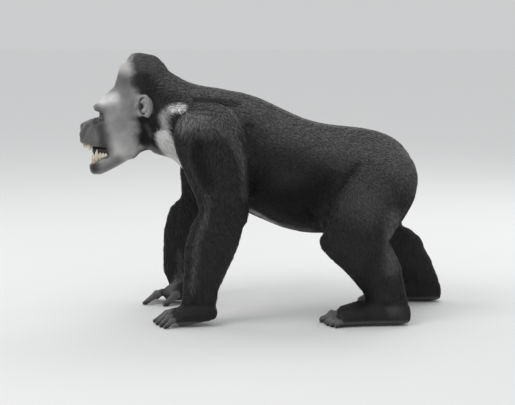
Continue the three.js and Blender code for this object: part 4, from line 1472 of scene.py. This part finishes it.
# %% Strewing the roots
body_mesh.calc_loop_triangles()
triangles = read(body_mesh.loop_triangles, "vertices", 3, np.int32)
a, b, c = (points[triangles[:, k]] for k in range(3))
area = np.linalg.norm(np.cross(b - a, c - a), axis=1) / 2
middle = (a + b + c) / 3
ear_distance = from_ear(middle[:, 0], middle[:, 2])
off_ear = ear_distance > 1.5
past_edge = (14, 0, 0) * ((middle[:, 2] > HEAD_LOW) & off_ear)[:, None]  # hair grows a little on to the face
haired = 1 - bare_skin(middle + past_edge)
haired = haired * (off_ear | (ear_distance > 0.96) & (haired > 0.7))
typical = tuft_length(middle)
density = haired * area / (typical * tuft_width(typical))
square = PLAN ** 2 * area
print("square metres of skin:", round(square.sum(), 2), "and with hair:", round((square * haired).sum(), 2))


def region_of(middle):
    """Twice the number in PARTS of the part that a place belongs to, and one more on the right."""
    x, y, z = middle.T
    arm = (x < -20) & ((np.abs(y) > 178) & (z < 940) | (z < 470))
    leg = (x > 200) & (z < 560 + 0.45 * (x - 200))
    region = np.where(x < -330, 0, 1)
    region = np.where(arm, 2, region)
    region = np.where(leg, 3, region)
    region = np.where(leg & (z < 330), 4, region)
    return 2 * region + (y > 0)


PARTS = ["neck", "trunk", "arm", "thigh", "shin"]
TUFTS = 128000
region = region_of(middle)
chance = np.cumsum(density) / density.sum()
strewn = np.searchsorted(chance, RANDOM.random(TUFTS))  # the triangle that each tuft grows from
u, v = RANDOM.random((2, TUFTS))
over = u + v > 1
u, v = np.where(over, 1 - u, u)[:, None], np.where(over, 1 - v, v)[:, None]
roots = a[strewn] * (1 - u - v) + b[strewn] * u + c[strewn] * v
root_point = triangles[strewn, 0]
print("tufts in each part:", np.bincount(region[strewn], minlength=2 * len(PARTS)))

# %% [markdown]
# ### One tuft, and all of them
# The middle and the tip of a tuft are first put straight ahead along the lie, and then moved to their height
# over the skin. To find the skin below them, each looks among the neighbours of its root's point, and theirs
# in turn. A ray for each would be exact, but a quarter of a million rays are slow in Python, and this is done
# for all tufts at once. The heights make the coat: roots sink in, middles rise a little, and tips lie on the
# tufts behind.


# %% Finding the skin below
MOST_NEIGHBOURS, STEPS = 8, 9


def padded_web(mesh):
    """For each point up to eight neighbours in a row of a table, itself where it has fewer."""
    after, start, count = web_of(mesh)
    table = np.repeat(np.arange(len(count))[:, None], MOST_NEIGHBOURS, 1)
    for k in range(MOST_NEIGHBOURS):
        has = count > k
        table[has, k] = after[start[has] + k]
    return table


NEIGHBOURS = padded_web(body_mesh)


def nearest_on_skin(targets, guess):
    """The nearest skin point to each target, found by steps from a guess to its best neighbour."""
    for _ in range(STEPS):
        candidates = NEIGHBOURS[guess]
        distance = ((points[candidates] - targets[:, None]) ** 2).sum(2)
        best = candidates[np.arange(len(guess)), distance.argmin(1)]
        better = distance.min(1) < ((points[guess] - targets) ** 2).sum(1)
        guess = np.where(better, best, guess)
    return guess


def raised(targets, guess, height):
    """Targets moved to a height over the skin, which is taken as the flat plane at its nearest point."""
    guess = nearest_on_skin(targets, guess)
    over = dot(targets - points[guess], normals[guess])
    return targets + normals[guess] * (height[:, None] - over), guess


print("a table of", NEIGHBOURS.shape[0], "rows of", NEIGHBOURS.shape[1], "neighbours")


# %% Shaping the tufts
length = tuft_length(roots) * RANDOM.uniform(0.75, 1.2, TUFTS)
width = tuft_width(length) * RANDOM.uniform(0.8, 1.15, TUFTS)
across = np.cross(normals[root_point], lie[root_point])
swing = RANDOM.normal(0, 0.13, TUFTS)[:, None]
heading = unit(lie[root_point] + swing * across)
thin = np.clip(length / 26, 0.35, 1.0)
shaggy = 1 + 0.9 * np.clip((length - 36) / 12, 0, 1)  # the fringe stands out a little
root, _ = raised(roots, root_point, -1.2 * np.ones(TUFTS))
mid_height = (2.4 + RANDOM.uniform(-0.5, 0.7, TUFTS)) * thin * shaggy
mid, mid_point = raised(roots + heading * (0.45 * length)[:, None], root_point, mid_height)
tip_height = (3.2 + RANDOM.uniform(-1.0, 1.2, TUFTS)) * thin * shaggy ** 1.5
onward = unit(lie[mid_point] + swing * 0.5) * (0.55 * length)[:, None]
tip, tip_point = raised(mid + onward, mid_point, tip_height)


def three_round(middle, point, half_width, thick):
    """Three places round a tuft's middle line: two on its edges and one on its ridge."""
    edge = unit(np.cross(normals[point], lie[point])) * half_width[:, None]
    ridge = normals[point] * thick[:, None]
    return np.stack([middle - edge, middle + edge, middle + ridge], 1)


blade = np.concatenate([three_round(root, root_point, 0.34 * width, 0.25 * width),
                        three_round(mid, mid_point, 0.5 * width, 0.28 * width), tip[:, None]], 1)
blade = above_floor(blade, 0.4)
print(TUFTS, "tufts, on average", round(float(length.mean()), 1), "mm long")

# %% [markdown]
# ### The coat's pieces
# A piece of the coat is one mesh of many tufts. Lists of faces would be slow for a million of them, so
# corners and faces are laid out as whole arrays. Each piece carries its colours, the way of the skin below
# each point, which softens its shading, and a flat map. Smart UV Project could pack such a map, but it is
# slow for so many faces. Instead the body is unrolled, and each tuft has a small patch of its own about the
# place of its root.

# %% Faces and patches of one tuft
TUFT_FACES = [(0, 3, 5, 2), (1, 2, 5, 4), (0, 1, 4, 3), (3, 6, 5), (5, 6, 4), (4, 6, 3), (0, 2, 1)]
CORNERS = np.concatenate(TUFT_FACES)
SIZES = np.array([len(face) for face in TUFT_FACES])
STARTS = np.cumsum(SIZES) - SIZES
TUFT_POINTS, TUFT_TRIANGLES = 7, 10
# where the corners lie on the tuft's patch: across it in sixths, and along it in halves
TUFT_MAP = np.array([(0, 0), (0, 1), (2, 1), (2, 0), (4, 0), (2, 0), (2, 1), (4, 1), (6, 0), (4, 0), (4, 1),
                     (6, 1), (0, 1), (1, 2), (2, 1), (2, 1), (3, 2), (4, 1), (4, 1), (5, 2), (6, 1), (1, 2),
                     (2, 1), (3, 2)]) / (6, 2)
PATCH = 0.003  # of the map's width
# painted shade and light along each tuft: dark at the root under the tufts behind, lighter on the ridge and
# at the tip
TUFT_PAINTED_SHADE_AND_LIGHT = np.array([0.75, 0.75, 0.8, 0.97, 0.97, 1.0, 1.1])  # how light each of the seven points is
# of each limb: its lean, the distance of its axis from the middle, and the axis's x by height
ARM_AXIS = (ARM_LEAN[1], 230, [0, 300, 600, 900], [-230, -220, -190, -190])
LEG_AXIS = (LEG_LEAN[1], 210, [0, 130, 360, 650], [500, 540, 420, 500])
print("a tuft has", len(SIZES), "faces with", len(CORNERS), "corners")


# %% Unrolling the body
def unwrapped(roots, part):
    """
    The place of each root on a flat map from 0 to 1. Trunk and neck are unrolled about their long middle
    line, and limbs about their upright one: one way round is the angle and the other is the distance along.
    """
    x, y, z = roots.T
    if part in ("neck", "trunk"):
        middle_z = np.interp(x, [-560, -350, 0, 400, 660], [930, 820, 690, 640, 640])
        round_it, along = np.arctan2(np.abs(y), z - middle_z) / np.pi, x
    else:
        lean, axis_y, heights, places = ARM_AXIS if part == "arm" else LEG_AXIS
        shift = np.where(y > 0, np.interp(z, *np.transpose(lean)), 0)
        axis_x = np.interp(z, heights, places)
        round_it, along = (np.arctan2(np.abs(y) - axis_y, x - axis_x - shift) / np.pi + 1) / 2, z
    along = (along - along.min()) / (along.max() - along.min())
    return 0.004 + 0.988 * np.column_stack([np.clip(round_it, 0, 1), along])


print("the first root lies at", unwrapped(roots, "trunk")[0].round(3), "on the trunk's map")


# %% Building a piece
def coat_piece(name, chosen, part, finish):
    """One piece of the coat from the chosen tufts, with faces, colours and map as whole arrays."""
    count = len(chosen)
    tufts = np.arange(count)[:, None]
    mesh = bpy.data.meshes.new(name)
    mesh.vertices.add(count * TUFT_POINTS)
    write(mesh.vertices, "co", blade[chosen] * PLAN)
    mesh.loops.add(count * len(CORNERS))
    write(mesh.loops, "vertex_index", CORNERS + TUFT_POINTS * tufts, np.int32)
    mesh.polygons.add(count * len(SIZES))
    write(mesh.polygons, "loop_start", STARTS + len(CORNERS) * tufts, np.int32)
    flat = unwrapped(roots[chosen], part)[:, None] + PATCH * (TUFT_MAP - 0.5)
    write(mesh.uv_layers.new(name="OFBake").data, "uv", flat)
    mesh.update(calc_edges=True)
    mesh.validate()
    colour = markings_and_painted_light(roots[chosen]) * RANDOM.uniform(0.88, 1.14, count)[:, None]
    set_colours(mesh, "tint", (colour[:, None] * TUFT_PAINTED_SHADE_AND_LIGHT[:, None]).reshape(-1, 3))
    below = np.repeat(np.stack([root_point, mid_point, tip_point], 1)[chosen], (3, 3, 1), axis=1)
    write(mesh.attributes.new("skin_way", "FLOAT_VECTOR", "POINT").data, "vector", normals[below])
    mesh.shade_smooth()
    mesh.materials.append(finish.owner)
    made = shown(name, mesh)
    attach(made, "root")
    print(name, count * TUFT_TRIANGLES, "triangles")


coat = Finish("coat_hair")
coat.mottle(**BLOTCHES)
skin_way = coat.carried("skin_way", "Vector")
own_way = coat.node("NewGeometry").outputs["Normal"]
way = coat.node("Mix", {0: 0.35, 4: skin_way, 5: own_way}, data_type="VECTOR")
coat.link(coat.node("VectorMath", {0: way.outputs[1]}, operation="NORMALIZE").outputs[0], "Normal")
coat.set(Roughness=0.6, Sheen_Weight=0.12, Sheen_Roughness=0.4, Specular_IOR_Level=0.2)

part_of = region[strewn]
for number in range(2 * len(PARTS)):
    part, side = PARTS[number // 2], "right" if number % 2 else "left"
    coat_piece("coat_" + part + "_" + side, np.flatnonzero(part_of == number), part, coat)
